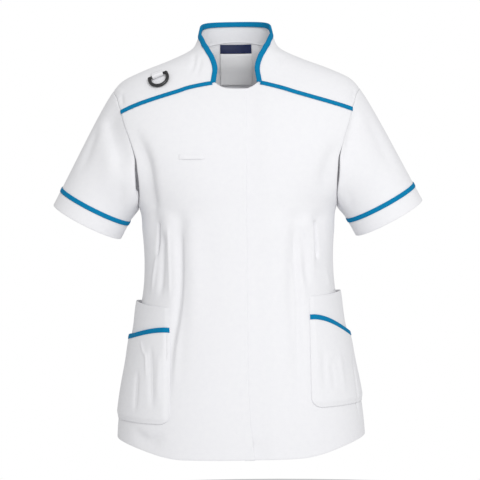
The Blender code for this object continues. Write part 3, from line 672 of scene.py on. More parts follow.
class Workroom:
    """Makes the tunic's pieces and keeps what they share."""

    def __init__(self) -> None:
        """Start with no piece made."""
        self.creases: list = []
        self.seams: list = []
        self.made = 0

    def press(self, cloth: Cloth, share: float = 1.0) -> Cloth:
        """Fold and pucker cloth along the creases and seams that cross it.

        Args:
            cloth: The smooth cloth.
            share: How much of the folds' depth it takes.

        Returns:
            The folded cloth.
        """
        depth = fold_depth(cloth.points, cloth.normals, self.creases)
        for dip in self.seams:
            depth = depth + dip.depth_at(cloth.points)
        return cloth.lifted(depth * share)

    def sheet(self, node: str, cloth: Cloth, stuff: Stuff, cut: Cut, thickness: float,
              *rests_on: str, kind: str = "cloth", round_about: bool = False) -> None:
        """Make a grid of points one cloth shell.

        Args:
            node: Name of the CAD node that it stands for.
            cloth: Its outside, columns first.
            stuff: What it is made of.
            cut: Its flat cut; not used.
            thickness: Thickness of the cloth, in millimetres.
            rests_on: Names of what it hangs from or lies on; not used.
            kind: What it is, the last word of its name.
            round_about: Whether the last column joins the first.
        """
        name = f"{node}_{kind}"
        columns, rows = cloth.points.shape[:2]
        bm = bmesh.new()
        bm.loops.layers.uv.new("grain")
        bmesh.ops.create_grid(bm, x_segments=columns - 1, y_segments=rows - 1, size=1, calc_uvs=True)
        mesh = bpy.data.meshes.new(name)
        bm.to_mesh(mesh)
        bm.free()
        spots = np.empty(len(mesh.vertices) * 3)
        mesh.vertices.foreach_get("co", spots)
        spots = spots.reshape(-1, 3)
        column = np.rint((spots[:, 0] + 1) / 2 * (columns - 1)).astype(int)
        row = np.rint((spots[:, 1] + 1) / 2 * (rows - 1)).astype(int)
        mesh.vertices.foreach_set("co", (cloth.points[column, row] * MM).ravel())
        self._scale_grain(mesh, cloth)
        if round_about:
            bm = bmesh.new()
            bm.from_mesh(mesh)
            bmesh.ops.remove_doubles(bm, verts=bm.verts[:], dist=0.00002)
            bm.to_mesh(mesh)
            bm.free()
        across = np.diff(cloth.points[:, :-1], axis=0)
        upward = np.diff(cloth.points[:-1], axis=1)
        facing = np.sum(np.cross(across, upward) * cloth.normals[:-1, :-1])
        if facing < 0:
            mesh.flip_normals()
        piece = self.put(name, mesh, stuff, (node,))
        shell = piece.modifiers.new("cloth", "SOLIDIFY")
        shell.thickness = thickness * MM
        shell.offset = -1.0

    def stitch(self, name: str, rows: list, thread: Stuff, pitch: float = 3.0, length: float = 2.1,
               radius: float = 0.22) -> None:
        """Sew rows of short stitches on the cloth.

        Args:
            name: Name of the piece.
            rows: Pairs of a line's points and the way out at each.
            thread: What the thread is made of.
            pitch: Distance from one stitch to the next, in millimetres.
            length: Length of a stitch.
            radius: Half the thickness of the thread.
        """
        template, faces = self._one_stitch()
        made = []
        for points, normals in rows:
            walked = walked_along(points)
            marks = np.arange(pitch / 2, walked[-1] - pitch / 2, pitch)
            spots, ends, outs = (np.stack([np.interp(place, walked, values[:, k]) for k in range(3)], -1)
                                 for place, values in ((marks, points), (marks + 0.5, points),
                                                       (marks, normals)))
            along, up = unit(ends - spots), unit(outs)
            side = unit(np.cross(up, along))
            sag = radius * (STITCH_RISE - STITCH_SINK * template[:, 0] ** 2)
            made.append(spots[:, None] + along[:, None] * template[None, :, :1] * length / 2
                        + side[:, None] * template[None, :, 1:2] * radius
                        + up[:, None] * (template[:, 2] * radius + sag)[None, :, None])
        spots = np.concatenate(made).reshape(-1, 3) * MM
        starts = np.arange(len(spots) // len(template)) * len(template)
        mesh = bpy.data.meshes.new(name)
        mesh.from_pydata(spots.tolist(), [], [[start + k for k in face] for start in starts.tolist()
                                              for face in faces])
        self.put(name, mesh, thread)

    @staticmethod
    def _one_stitch() -> tuple:
        """One stitch of length 2 and thickness 2, along X.

        Returns:
            Its points and its faces.
        """
        bm = bmesh.new()
        turn = Matrix.Rotation(math.radians(90), 4, "Y")
        bmesh.ops.create_uvsphere(bm, u_segments=STITCH_SEGMENTS, v_segments=STITCH_SEGMENTS,
                                  radius=1.0, matrix=turn)
        points = np.array([vert.co for vert in bm.verts])
        faces = [[vert.index for vert in face.verts] for face in bm.faces]
        bm.free()
        return points, faces

    @staticmethod
    def _scale_grain(mesh: bpy.types.Mesh, cloth: Cloth) -> None:
        """Scale the mesh's UV map so that one unit is one metre of cloth.

        Args:
            mesh: The mesh, with a UV map from 0 to 1.
            cloth: The cloth that it was made from.
        """
        width = np.linalg.norm(np.diff(cloth.points, axis=0), axis=-1).sum(axis=0).mean() * MM
        length = np.linalg.norm(np.diff(cloth.points, axis=1), axis=-1).sum(axis=1).mean() * MM
        layer = mesh.uv_layers["grain"].uv
        values = np.empty(len(layer) * 2)
        layer.foreach_get("vector", values)
        values = values.reshape(-1, 2) * np.array([width, length])
        layer.foreach_set("vector", values.ravel())

    def put(self, name: str, mesh: bpy.types.Mesh, stuff: Stuff, replaces: tuple = (),
            body: str = TUNIC) -> bpy.types.Object:
        """Put a finished mesh in the scene.

        Args:
            name: Name of the piece.
            mesh: Its mesh.
            stuff: What it is made of.
            replaces: The CAD nodes that it stands for.
            body: The body that it rides on.

        Returns:
            The new object.
        """
        material, slot = stuff
        mesh.shade_smooth()
        mesh.materials.append(material)
        piece = bpy.data.objects.new(name, mesh)
        bpy.context.scene.collection.objects.link(piece)
        if replaces:
            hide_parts(*replaces)
        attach(piece, body)
        self.made += 1
        log.info("made %s", name)
        return piece


@dataclass
class Fronts:
    """The right front laps over the left front, which runs on beneath it."""

    room: Workroom
    white: Stuff
    fine_across: int = 9
    fine_up: int = 10
    cloth_thickness: float = 0.6
    hem_width: float = 20.0
    lap_facing: float = 14.0
    seam_allowance: float = 7.0
    fold_gap: float = 1.25
    underlap_x: float = -18.0
    underlap_depth: float = 2.0
    corner_depth: float = 1.6
    corner_top: float = 44.0
    corner_run: float = 26.0
    clear_top: float = 20.0
    clear_hem: float = 26.0
    ramp: float = 34.0
    ramp_start: float = 1.0
    stitch_in: float = 2.0
    lap_stitch_in: float = 1.0
    stitches_under: float = 6.0
    neckline_over: tuple = ((-19, -69.5), (-31, -64), (-37, -59))
    neckline_clear: tuple = (20, -69.5)
    neckline_under: tuple = (30, -64.5)

    def side(self) -> np.ndarray:
        """The side seam and the front of the armhole, one above the other."""
        lines = SeamLines(self.fine_up)
        return join(lines.side(), lines.front_arm())

    def right_places(self) -> np.ndarray:
        """The grid of the right front, from the lap's edge to the side seam.

        Returns:
            A grid of places, columns first.
        """
        side = self.side()
        edge_z = np.linspace(float(hem_z(0)), NECKLINE_Z, len(side))
        lap = FORM.places(lap_x(edge_z), edge_z)
        neck = FORM.seam([tuple(lap[-1]), (0, NECKLINE_Z), *FORM.in_front(self.neckline_over)],
                         NECK_CELLS * self.fine_across)
        yoke = SeamLines(self.fine_across).yoke_line(Side.RIGHT)
        top = join(neck, mirrored(yoke, Side.RIGHT))
        bottom = along_hem(lap[0][0], -90, len(top) - 1)
        lap[0], lap[-1] = bottom[0], top[0]
        return coons(bottom, top, lap, mirrored(side, Side.RIGHT))

    def left_places(self) -> np.ndarray:
        """The grid of the left front, from its hidden edge to the side seam.

        Returns:
            A grid of places, columns first.
        """
        side = self.side()
        fine = self.fine_across
        edge_z = np.linspace(float(hem_z(0)), NECKLINE_Z, len(side))
        under = FORM.places(self.underlap_x, edge_z)
        neck_under = FORM.seam([tuple(under[-1]), (0, NECKLINE_Z),
                                *FORM.in_front([self.neckline_clear])], NECK_CELLS // 2 * fine)
        neck_over = FORM.seam(FORM.in_front([self.neckline_clear, self.neckline_under, NECK_POINT]),
                              NECK_CELLS // 2 * fine)
        top = join(neck_under, neck_over, SeamLines(fine).yoke_line(Side.LEFT))
        hem_clear = float(FORM.front_angle(self.clear_hem, HEM_FRONT_Z))
        hem_ramp = float(FORM.front_angle(self.clear_hem + self.ramp, HEM_FRONT_Z))
        bottom = join(along_hem(under[0][0], hem_clear, 2 * fine),
                      along_hem(hem_clear, hem_ramp, fine),
                      along_hem(hem_ramp, 90, len(top) - 1 - 3 * fine))
        under[0], under[-1] = bottom[0], top[0]
        return coons(bottom, top, under, side)

    def left_depth(self, places: np.ndarray) -> np.ndarray:
        """How far the left front is pressed in where the lap lies over it.

        Args:
            places: The grid of the left front.

        Returns:
            Distances into the form.
        """
        x, z = FORM.point(places[..., 0], places[..., 1])[..., 0], places[..., 1]
        share = (z - HEM_FRONT_Z) / (NECKLINE_Z - HEM_FRONT_Z)
        clear = self.clear_hem + (self.clear_top - self.clear_hem) * share
        depth = self.underlap_depth + self.corner_depth * ease((HEM_FRONT_Z + self.corner_top - z)
                                                                / self.corner_run)
        return depth * (1 - ease((x - clear - self.ramp_start) / self.ramp))

    def build(self) -> None:
        """Make both fronts with their turned hems, facings and neck edges."""
        right = self.room.press(Cloth.over(self.right_places()))
        lap_rows = [right.turned().row(distance)
                    for distance in (self.stitch_in, self.lap_facing - self.lap_stitch_in)]
        hem_rows = [right.row(self.hem_width - self.stitch_in)]
        right = right.turn_under(self.hem_width, self.fold_gap)
        right = right.turned().turn_under(self.lap_facing, self.fold_gap).turned()
        right = right.backward().turn_under(self.seam_allowance, self.fold_gap).backward()
        self.room.sheet("front_right", right, self.white, Cut(0.325, 0.66, 0.164), self.cloth_thickness,
                        "yoke_right")
        places = self.left_places()
        left = self.room.press(Cloth.over(places)).lifted(-self.left_depth(places))
        hem_points, hem_normals = left.row(self.hem_width - self.stitch_in)
        shown = hem_points[:, 0] > self.clear_hem - self.stitches_under
        hem_rows.append((hem_points[shown], hem_normals[shown]))
        left = left.turn_under(self.hem_width, self.fold_gap)
        left = left.backward().turn_under(self.seam_allowance, self.fold_gap).backward()
        self.room.sheet("front_left", left, self.white, Cut(0.345, 0.66, 0.166), self.cloth_thickness,
                        "yoke_left")
        self.room.stitch("hem_stitches_front", hem_rows, self.white)
        self.room.stitch("lap_stitches", lap_rows, self.white)


@dataclass
class BackAndCollar:
    """The back, cut in one from hem to neck, and the back collar above it."""

    room: Workroom
    white: Stuff
    fine_across: int = 7
    fine_up: int = 7
    collar_fine_up: int = 6
    cloth_thickness: float = 0.6
    collar_thickness: float = 1.4
    hem_width: float = 20.0
    stitch_in: float = 2.0
    fold_gap: float = 1.6

    def neck_seam(self) -> np.ndarray:
        """The seam between the back and the back collar."""
        return round_back(NECK_SEAM_SIDE_Z, NECK_SEAM_BACK_Z, NECK_SEAM_ROUNDNESS,
                          BACK_CELLS * self.fine_across)

    def back_places(self) -> np.ndarray:
        """The grid of the back, from the wearer's left to the right.

        Returns:
            A grid of places, columns first.
        """
        lines = SeamLines(self.fine_up)
        left = join(lines.side(), lines.back_arm(), lines.shoulder())
        return coons(along_hem(90, 270, BACK_CELLS * self.fine_across), self.neck_seam(), left,
                     across_back(left))

    def collar_places(self, fine_up: int) -> np.ndarray:
        """The grid of the back collar, with a number of rows for each of its four cells.

        Args:
            fine_up: Rows for each cell.

        Returns:
            A grid of places, columns first.
        """
        left = SeamLines(fine_up).collar_side()
        top = round_back(COLLAR_SIDE_TOP_Z, COLLAR_BACK_TOP_Z, COLLAR_TOP_ROUNDNESS,
                         BACK_CELLS * self.fine_across)
        return coons(self.neck_seam(), top, left, across_back(left))

    def build(self) -> None:
        """Make the back with its turned hem, and the back collar."""
        back = self.room.press(Cloth.over(self.back_places()))
        hem_rows = [back.row(self.hem_width - self.stitch_in)]
        back = back.turn_under(self.hem_width, self.fold_gap)
        self.room.sheet("back", back, self.white, Cut(0.56, 0.75, 0.337), self.cloth_thickness,
                        "yoke_right", "yoke_left")
        self.room.stitch("hem_stitches_back", hem_rows, self.white)
        collar = self.room.press(Cloth.over(self.collar_places(self.collar_fine_up)))
        self.room.sheet("collar_back", collar, self.white, Cut(0.20, 0.042, 0.0071),
                        self.collar_thickness, "back")


@dataclass
class Yoke:
    """One yoke, cut in one with the front of the stand collar."""

    room: Workroom
    side: Side
    white: Stuff
    fine_across: int = 8
    fine_up: int = 6
    thickness: float = 1.2

    def places(self, fine_across: int) -> np.ndarray:
        """The grid of the yoke, from the collar's front edge to the armhole.

        Args:
            fine_across: Columns for each cell.

        Returns:
            A grid of places, columns first.
        """
        across, up = SeamLines(fine_across), SeamLines(self.fine_up)
        top = join(across.collar_side()[::-1], across.shoulder()[::-1])
        grid = coons(across.yoke_line(self.side), top, up.collar_front(), up.yoke_arm())
        return mirrored(grid, self.side)

    def build(self) -> None:
        """Make the yoke."""
        cloth = self.room.press(Cloth.over(self.places(self.fine_across)))
        self.room.sheet(f"yoke_{self.side.word}", cloth, self.white, Cut(0.21, 0.17, 0.0207),
                        self.thickness, "back")


@dataclass
class Sleeve:
    """One short sleeve with its cuff band and the piping over the seam between them."""

    room: Workroom
    side: Side
    white: Stuff
    blue: Stuff
    creases: tuple = ()
    fine_round: int = 6
    rows: int = 76
    cuff_rows: int = 14
    centre: tuple = (270.5, -4.0, -295.5)
    across: tuple = (-119.0, 0.0, -63.5)
    axis: tuple = (63.5, 0.0, -119.0)
    half_width: float = 67.5
    half_depth: float = 63.0
    dip: float = 7.0
    band: float = 31.0
    head_pull: float = 0.62
    cuff_pull: float = 1.0
    head_shape: float = 1.5
    seam_gap: float = 0.12
    blend_reach: float = 16.0
    cloth_thickness: float = 0.6
    facing: float = 27.0
    fold_gap: float = 1.6
    crease_steps: int = 16
    stitch_rows: tuple = (1.6, 24.5)
    trim_width: float = 8.0
    trim_lift: float = 0.5
    trim_height: float = 1.0
    trim_crown: float = 0.5
    trim_columns: int = 9
    trim_thickness: float = 0.5

    def ring(self, turns: np.ndarray, up_axis: float) -> tuple:
        """Points of the sleeve's lower ring, and the way out of it.

        Args:
            turns: Turns in degrees. 180 is the outer edge, 270 the front, 0 the underarm.
            up_axis: Distance from the hem of the cuff back up the sleeve.

        Returns:
            The points and the unit vectors out of the sleeve.
        """
        cosine, sine = np.cos(np.radians(turns))[:, None], np.sin(np.radians(turns))[:, None]
        across, axis = unit(np.array(self.across)), unit(np.array(self.axis))
        deep = np.array([0.0, 1.0, 0.0])
        centre = np.array(self.centre) - axis * up_axis
        point = (centre + across * self.half_width * cosine + deep * self.half_depth * sine
                 - axis * self.dip * sine)
        out = across * self.half_depth * cosine + deep * self.half_width * sine
        return point, unit(out)

    def loop(self) -> tuple:
        """The armhole as a closed row of points on the form.

        Returns:
            Its points, its normals, the turn of each point round the sleeve.
        """
        lines = SeamLines(self.fine_round)
        back, yoke, front = lines.back_arm(), lines.yoke_arm()[::-1], lines.front_arm()[::-1]
        places = np.concatenate([yoke[:-1], front[:-1], back[:-1]])
        points = FORM.on(places)
        steps = np.linalg.norm(np.roll(points, -1, axis=0) - points, axis=-1)
        bottom = len(yoke) + len(front) - 2
        length = np.concatenate([[0], np.cumsum(steps)])
        turns = np.where(np.arange(len(places)) <= bottom,
                         180 + 180 * length[:-1] / length[bottom],
                         360 + 180 * (length[:-1] - length[bottom]) / (length[-1] - length[bottom]))
        return points, FORM.normal(places[:, 0], places[:, 1]), turns

    def surface(self) -> tuple:
        """The sleeve of the wearer's left, before its creases.

        Returns:
            Its rows of points from the armhole down, its normals, the turn of each point round
            the sleeve, and the way out at the sleeve's end.
        """
        points, normal, turns = self.loop()
        axis = unit(np.array(self.axis))
        ahead = np.roll(points, -1, axis=0) - np.roll(points, 1, axis=0)
        into = unit(np.cross(normal, ahead))
        into *= np.sign(np.sum(into * (points.mean(axis=0) - points), axis=-1, keepdims=True))
        into = self.evened(points, into)
        head = ease((points[:, 2:3] - UNDERARM_Z) / (SHOULDER_TIP_Z - UNDERARM_Z)) ** self.head_shape
        start_way = unit(into * head + axis * (1 - head))
        start = points + unit(into + start_way) * self.seam_gap
        end, end_out = self.ring(turns, self.band)
        length = np.linalg.norm(end - start, axis=-1, keepdims=True)
        leave, arrive = start_way * length * self.head_pull, axis * length * self.cuff_pull
        t = np.linspace(0, 1, self.rows + 1)[:, None, None]
        rows = ((1 + 2 * t) * (1 - t) ** 2 * start + t * (1 - t) ** 2 * leave
                + t * t * (3 - 2 * t) * end + t * t * (t - 1) * arrive)
        around = np.roll(rows, -1, axis=1) - np.roll(rows, 1, axis=1)
        normals = unit(np.cross(around, np.gradient(rows, axis=0)))
        outside = rows[-1] - rows[-1].mean(axis=0)
        normals *= np.sign(np.sum(normals[-1] * outside))
        normals[-1] = end_out
        return rows, normals, turns, end_out

    def evened(self, points: np.ndarray, ways: np.ndarray) -> np.ndarray:
        """Directions at the points of a closed row, each blended with those beside it.

        Args:
            points: The row's points.
            ways: The direction at each of them.

        Returns:
            The blended directions, as unit vectors.
        """
        steps = np.linalg.norm(np.roll(points, -1, axis=0) - points, axis=-1)
        mark = np.cumsum(steps) - steps
        gap = np.abs(mark[:, None] - mark[None])
        gap = np.minimum(gap, steps.sum() - gap)
        share = np.exp(-(gap / self.blend_reach) ** 2) * (steps + np.roll(steps, 1))[None]
        return unit(share @ ways)

    def folded(self, rows: np.ndarray, normals: np.ndarray) -> np.ndarray:
        """The rows with this sleeve's own creases pressed in.

        Args:
            rows: The sleeve's points.
            normals: The way out at each.

        Returns:
            The points after they are moved.
        """
        depth = np.zeros(rows.shape[:2])
        for crease in self.creases:
            facing = normals[..., 1] > 0 if crease.behind else normals[..., 1] < 0
            spots = rows[facing]
            marks = np.array(crease.line, float)
            along, knots = np.linspace(0, 1, self.crease_steps), np.linspace(0, 1, len(marks))
            route = []
            for share in along:
                mark = [np.interp(share, knots, marks[:, k]) for k in (0, 1)]
                gap = np.hypot(spots[:, 0] - mark[0], spots[:, 2] - mark[1])
                route.append(spots[np.argmin(gap)])
            route = np.array(route)
            route[1:-1] = (route[:-2] + route[1:-1] + route[2:]) / 3
            depth += fold_depth(rows, normals, [(crease, route)])
        return rows + normals * depth[..., None]

    def closed(self, rows: np.ndarray, normals: np.ndarray) -> Cloth:
        """Cloth with the first column repeated at the end, on this sleeve's side.

        Args:
            rows: The sleeve's points.
            normals: The way out at each.

        Returns:
            The cloth.
        """
        rows = flipped(np.concatenate([rows, rows[:, :1]], axis=1), self.side)
        normals = flipped(np.concatenate([normals, normals[:, :1]], axis=1), self.side)
        return Cloth(rows, normals).turned()

    def build(self) -> None:
        """Make the sleeve, its cuff and its piping."""
        word = self.side.word
        rows, normals, turns, end_out = self.surface()
        sleeve = self.room.press(self.closed(self.folded(rows, normals), normals))
        self.room.sheet(f"sleeve_{word}", sleeve, self.white, Cut(0.44, 0.20, 0.0555),
                        self.cloth_thickness, f"yoke_{word}", "back", round_about=True)

        ups = np.linspace(0, self.band, self.cuff_rows)
        cuff_rows = np.array([self.ring(turns, up)[0] for up in ups])
        cuff = self.closed(cuff_rows, np.array([end_out] * len(ups)))
        self.room.stitch(f"cuff_stitches_{word}", [cuff.row(distance) for distance in self.stitch_rows],
                         self.white)
        cuff = cuff.turn_under(self.facing, self.fold_gap)
        self.room.sheet(f"cuff_{word}", cuff, self.white, Cut(0.41, 0.060, 0.0238),
                        self.cloth_thickness, f"sleeve_{word}", round_about=True)

        half = self.trim_width / 2
        spread = np.linspace(-half, half, self.trim_columns)
        strip = np.array([self.ring(turns, self.band + up)[0] for up in spread])
        lift = self.trim_lift + self.trim_height - self.trim_crown * (np.abs(spread) / half) ** 4
        strip = strip + np.array([end_out] * len(spread)) * lift[:, None, None]
        trim = self.closed(strip, np.array([end_out] * len(spread)))
        self.room.sheet(f"cuff_piping_{word}", trim, self.blue, Cut(0.41, 0.010, 0.0033),
                        self.trim_thickness, f"cuff_{word}", kind="tape", round_about=True)


@dataclass
class HipPockets:
    """The two hip pockets of one side: a plain one under a piped one."""

    room: Workroom
    side: Side
    white: Stuff
    blue: Stuff
    under_mouth: tuple
    over_mouth: tuple
    bottom: float
    creases: tuple = ()
    columns: int = 121
    rows: int = 91
    front_x: float = 120.0
    end_angle: float = 110.0
    cut_width: float = 210.0
    mouth_turn: float = 1.3
    cloth_thickness: float = 0.3
    corner: float = 18.0
    corner_share: float = 0.98
    press_share: float = 0.8
    sewn_lift: float = 0.62
    sewn_reach: float = 11.0
    solid_thickness: float = 1.2
    lined_up_gap: float = 0.9
    sewn_on_gap: float = 0.5
    slack: float = 0.1
    gape_most: float = 8.0
    gape_reach: float = 45.0
    gape_skew: float = 2.2
    over_gape: float = 0.35
    edge_turning: float = 8.0
    edge_gap: float = 0.34
    mouth_hem: float = 22.0
    stitch_in: float = 2.0
    fold_gap: float = 1.3
    slope_rows: int = 8
    trim_width: float = 8.0
    trim_thickness: float = 0.5
    trim_inside: float = 0.75
    trim_outside: float = 0.65
    trim_crown: float = 0.25
    trim_edge: tuple = (0.8, 1.2)
    trim_turns: tuple = (-0.9, 0.0, 0.9)

    def mouth_z(self, mouth: tuple, u: np.ndarray) -> np.ndarray:
        """Heights of a mouth from its front end to its rear one."""
        return mouth[0] + (mouth[1] - mouth[0]) * ease(u * self.mouth_turn)

    def places(self, mouth: tuple) -> tuple:
        """A pocket's grid on the form.

        Args:
            mouth: Heights of its mouth at the front and at the side.

        Returns:
            The places, the share round from the front, the distance below the mouth, and how
            close it is sewn to the body, from 1 at its sewn edges to 0 inside them.
        """
        u, v = shares(self.columns, self.rows)
        top = self.mouth_z(mouth, u)
        from_corner = np.clip(1 - u * self.cut_width / self.corner, 0, 1)
        foot = self.bottom + self.corner * (1 - np.sqrt(1 - from_corner ** 2 * self.corner_share))
        z = foot + (top - foot) * v
        angle = FORM.front_angle(self.front_x, z)
        angle = angle + (self.end_angle - angle) * u
        sewn_front = 1 - ease(u * self.cut_width / self.sewn_reach)
        sewn_foot = 1 - ease((z - z[:, :1]) / self.sewn_reach)
        places = np.stack([angle * self.side.value, z], axis=-1)
        return places, u, top - z, np.maximum(sewn_front, sewn_foot)

    def gape(self, across: np.ndarray, below: np.ndarray) -> np.ndarray:
        """How far a pocket stands away from the body near its mouth."""
        bow = np.sin(math.pi * across ** self.gape_skew) ** 2
        return self.gape_most * bow * np.exp(-(below / self.gape_reach) ** 2)

    def piped(self, cloth: Cloth) -> Cloth:
        """The piping folded over the mouth of a pocket's cloth, from inside to outside.

        Args:
            cloth: The pocket's cloth, whose last row is its mouth.

        Returns:
            The cloth of the piping.
        """
        edge, normal = cloth.points[:, -1], cloth.normals[:, -1]
        down = unit(cloth.points[:, -self.slope_rows] - edge)
        ahead = unit(np.gradient(edge, axis=0))
        out = unit(np.cross(ahead, down))
        out *= np.sign(np.sum(out * normal, axis=-1, keepdims=True))
        rows, looks = [], []
        for below in np.linspace(self.trim_width, 0.5, 6):
            rows.append(edge + down * below - out * (self.fold_gap + self.trim_inside))
            looks.append(-out)
        rise, swell = self.trim_edge
        for turn in self.trim_turns:
            rows.append(edge - out * self.fold_gap / 2 - down * math.cos(turn) * rise
                        + out * math.sin(turn) * swell)
            looks.append(out)
        for below in np.linspace(0.2, self.trim_width, 8):
            dome = 0.0
            if below < self.trim_width:
                dome = self.trim_crown * math.sin(math.pi * below / self.trim_width) ** 0.5
            rows.append(edge + down * below + out * (self.trim_outside + dome))
            looks.append(out)
        return Cloth(np.stack(rows, axis=1), np.stack(looks, axis=1))

    def build(self) -> None:
        """Make both pockets with turned edges, and the piping of the over one."""
        word = self.side.word
        places, across, below, down = self.places(self.under_mouth)
        lift = self.lined_up_gap + self.solid_thickness + self.gape(across, below)
        lift = lift + (self.sewn_lift - lift) * down
        under = self.room.press(Cloth.over(places, lift), self.press_share)
        rows = [under.row(self.stitch_in), under.turned().row(self.stitch_in),
                under.backward().row(self.mouth_hem - self.stitch_in)]
        turned = under.backward().turn_under(self.mouth_hem, self.fold_gap).backward()
        turned = turned.turned().turn_under(self.edge_turning, self.edge_gap).turned()
        self.room.sheet(f"pocket_under_{word}", turned, self.white, Cut(0.225, 0.205, 0.042),
                        self.cloth_thickness, "back")

        under_top = self.mouth_z(self.under_mouth, across)
        places, across, below, down = self.places(self.over_mouth)
        base = self.lined_up_gap + self.sewn_on_gap + self.solid_thickness + self.slack
        base = base + self.gape(across, under_top - places[..., 1])
        lift = base + self.over_gape * self.gape(across, below) + self.solid_thickness
        lift = lift + (2 * self.sewn_lift - lift) * down
        over = Cloth.over(places, lift)
        own = [(crease, crease.route()) for crease in self.creases]
        over = over.lifted(fold_depth(over.points, over.normals, own))
        over = self.room.press(over, self.press_share)
        rows += [over.row(self.stitch_in), over.turned().row(self.stitch_in)]
        self.room.stitch(f"pocket_stitches_{word}", rows, self.white)
        turned = over.turned().turn_under(self.edge_turning, self.edge_gap).turned()
        self.room.sheet(f"pocket_over_{word}", turned, self.white, Cut(0.225, 0.165, 0.0325),
                        self.cloth_thickness, f"pocket_under_{word}")
        self.room.sheet(f"pocket_piping_{word}", self.piped(over), self.blue, Cut(0.225, 0.018),
                        self.trim_thickness, f"pocket_over_{word}", kind="tape")


@dataclass
class Trims:
    """The blue binding of the collar and the piping of the yoke seams."""

    room: Workroom
    blue: Stuff
    width: float = 8.0
    lift: float = 0.5
    height: float = 1.0
    stitch_in: float = 1.0
    columns: int = 9
    cloth_thickness: float = 0.5
    crown: float = 0.45
    start: float = 0.35
    tucked_until: float = 0.68
    clear_from: float = 0.92
    tucked_lift: float = 0.62
    collar_gap: float = 1.6
    wrap: float = 1.25
    edge_reach: float = 1.5
    edge_turn: float = 1.2
    inside_taper: float = 0.9
    outside_taper: float = 0.3
    fine: int = 8

    def beside(self, places: np.ndarray, distance: float) -> np.ndarray:
        """Places at a distance to the left of a seam, seen along it from outside.

        Args:
            places: The seam's places.
            distance: How far beside it, in millimetres.

        Returns:
            The new places.
        """
        points = FORM.on(places)
        angle, z = places[..., 0], places[..., 1]
        left = unit(np.cross(FORM.normal(angle, z), np.gradient(points, axis=0)))
        return FORM.shifted(places, left * distance)

    def yoke_piping(self, side: Side) -> None:
        """Make the piping over the seam between one yoke and its front.

        Args:
            side: The wearer's side that it is on.
        """
        line = SeamLines(self.fine).yoke_line(side)
        cell = np.arange(len(line)) / self.fine
        shares = np.linspace(-1, 1, self.columns)
        rows = [self.beside(line, share * self.width / 2)[cell >= self.start] for share in shares]
        places = mirrored(np.stack(rows, axis=1), side)
        full = self.lift + self.height - self.crown * np.abs(shares[None, :]) ** 4 + 0 * places[..., 0]
        cell = cell[cell >= self.start][:, None]
        clear = ease((cell - self.tucked_until) / (self.clear_from - self.tucked_until))
        cloth = Cloth.over(places, self.tucked_lift + (full - self.tucked_lift) * clear)
        edges = cloth if side is Side.LEFT else cloth.backward()
        self.room.stitch(f"yoke_piping_stitches_{side.word}",
                         [edges.row(self.stitch_in), edges.backward().row(self.stitch_in)],
                         self.blue)
        self.room.sheet(f"yoke_piping_{side.word}", cloth, self.blue, Cut(0.172, 0.010, 0.00135),
                        self.cloth_thickness, f"yoke_{side.word}", kind="tape")

    def binding(self, yoke: Yoke, collar: BackAndCollar) -> None:
        """Make the binding folded over the free edge of the collar.

        Args:
            yoke: The wearer's left yoke, whose grid ends at the collar's front edge.
            collar: The back and collar, whose grid ends at the collar's top edge.
        """
        front = yoke.places(1)
        top = collar.collar_places(1)
        other = across_back(front)
        edge, inside = (np.concatenate([front[k], top[1:-1, -1 - k], other[k][::-1]]) for k in (0, 1))
        normal = FORM.normal(edge[:, 0], edge[:, 1])
        inside_normal = FORM.normal(inside[:, 0], inside[:, 1])
        edge_point, inside_point = FORM.on(edge), FORM.on(inside)
        share = self.width / np.linalg.norm(inside_point - edge_point, axis=-1, keepdims=True)
        foot = edge_point + (inside_point - edge_point) * share
        foot_normal = unit(normal + (inside_normal - normal) * share)
        outward = unit(np.cross(np.gradient(edge_point, axis=0), normal))
        outward *= np.sign(np.sum(outward * (edge_point - inside_point), axis=-1, keepdims=True))
        rows, looks = [], []
        deep = self.collar_gap + self.wrap
        for step in np.linspace(1, 0.05, 7):
            at, way = edge_point + (foot - edge_point) * step, normal + (foot_normal - normal) * step
            rows.append(at - way * (deep + self.inside_taper * step))
            looks.append(-way)
        for turn in np.linspace(-self.edge_turn, self.edge_turn, 5):
            middle = edge_point - normal * (self.collar_gap / 2)
            rows.append(middle + outward * (math.cos(turn) * self.edge_reach)
                        + normal * (math.sin(turn) * (self.collar_gap / 2 + self.wrap)))
            looks.append(outward * math.cos(turn) + normal * math.sin(turn))
        for step in np.linspace(0.05, 1, 8):
            at, way = edge_point + (foot - edge_point) * step, normal + (foot_normal - normal) * step
            rows.append(at + way * (self.lift + self.height - self.outside_taper * step ** 4))
            looks.append(way)
        cloth = Cloth(np.stack(rows, axis=1), np.stack(looks, axis=1))
        self.room.stitch("collar_binding_stitches", [cloth.backward().row(self.stitch_in)], self.blue)
        self.room.sheet("collar_binding", cloth, self.blue, Cut(0.42, 0.020), self.cloth_thickness,
                        "yoke_right", "yoke_left", kind="tape")

    def build(self, yoke: Yoke, collar: BackAndCollar) -> None:
        """Make the binding and both yoke pipings.

        Args:
            yoke: The wearer's left yoke.
            collar: The back and collar.
        """
        self.binding(yoke, collar)
        for side in Side:
            self.yoke_piping(side)


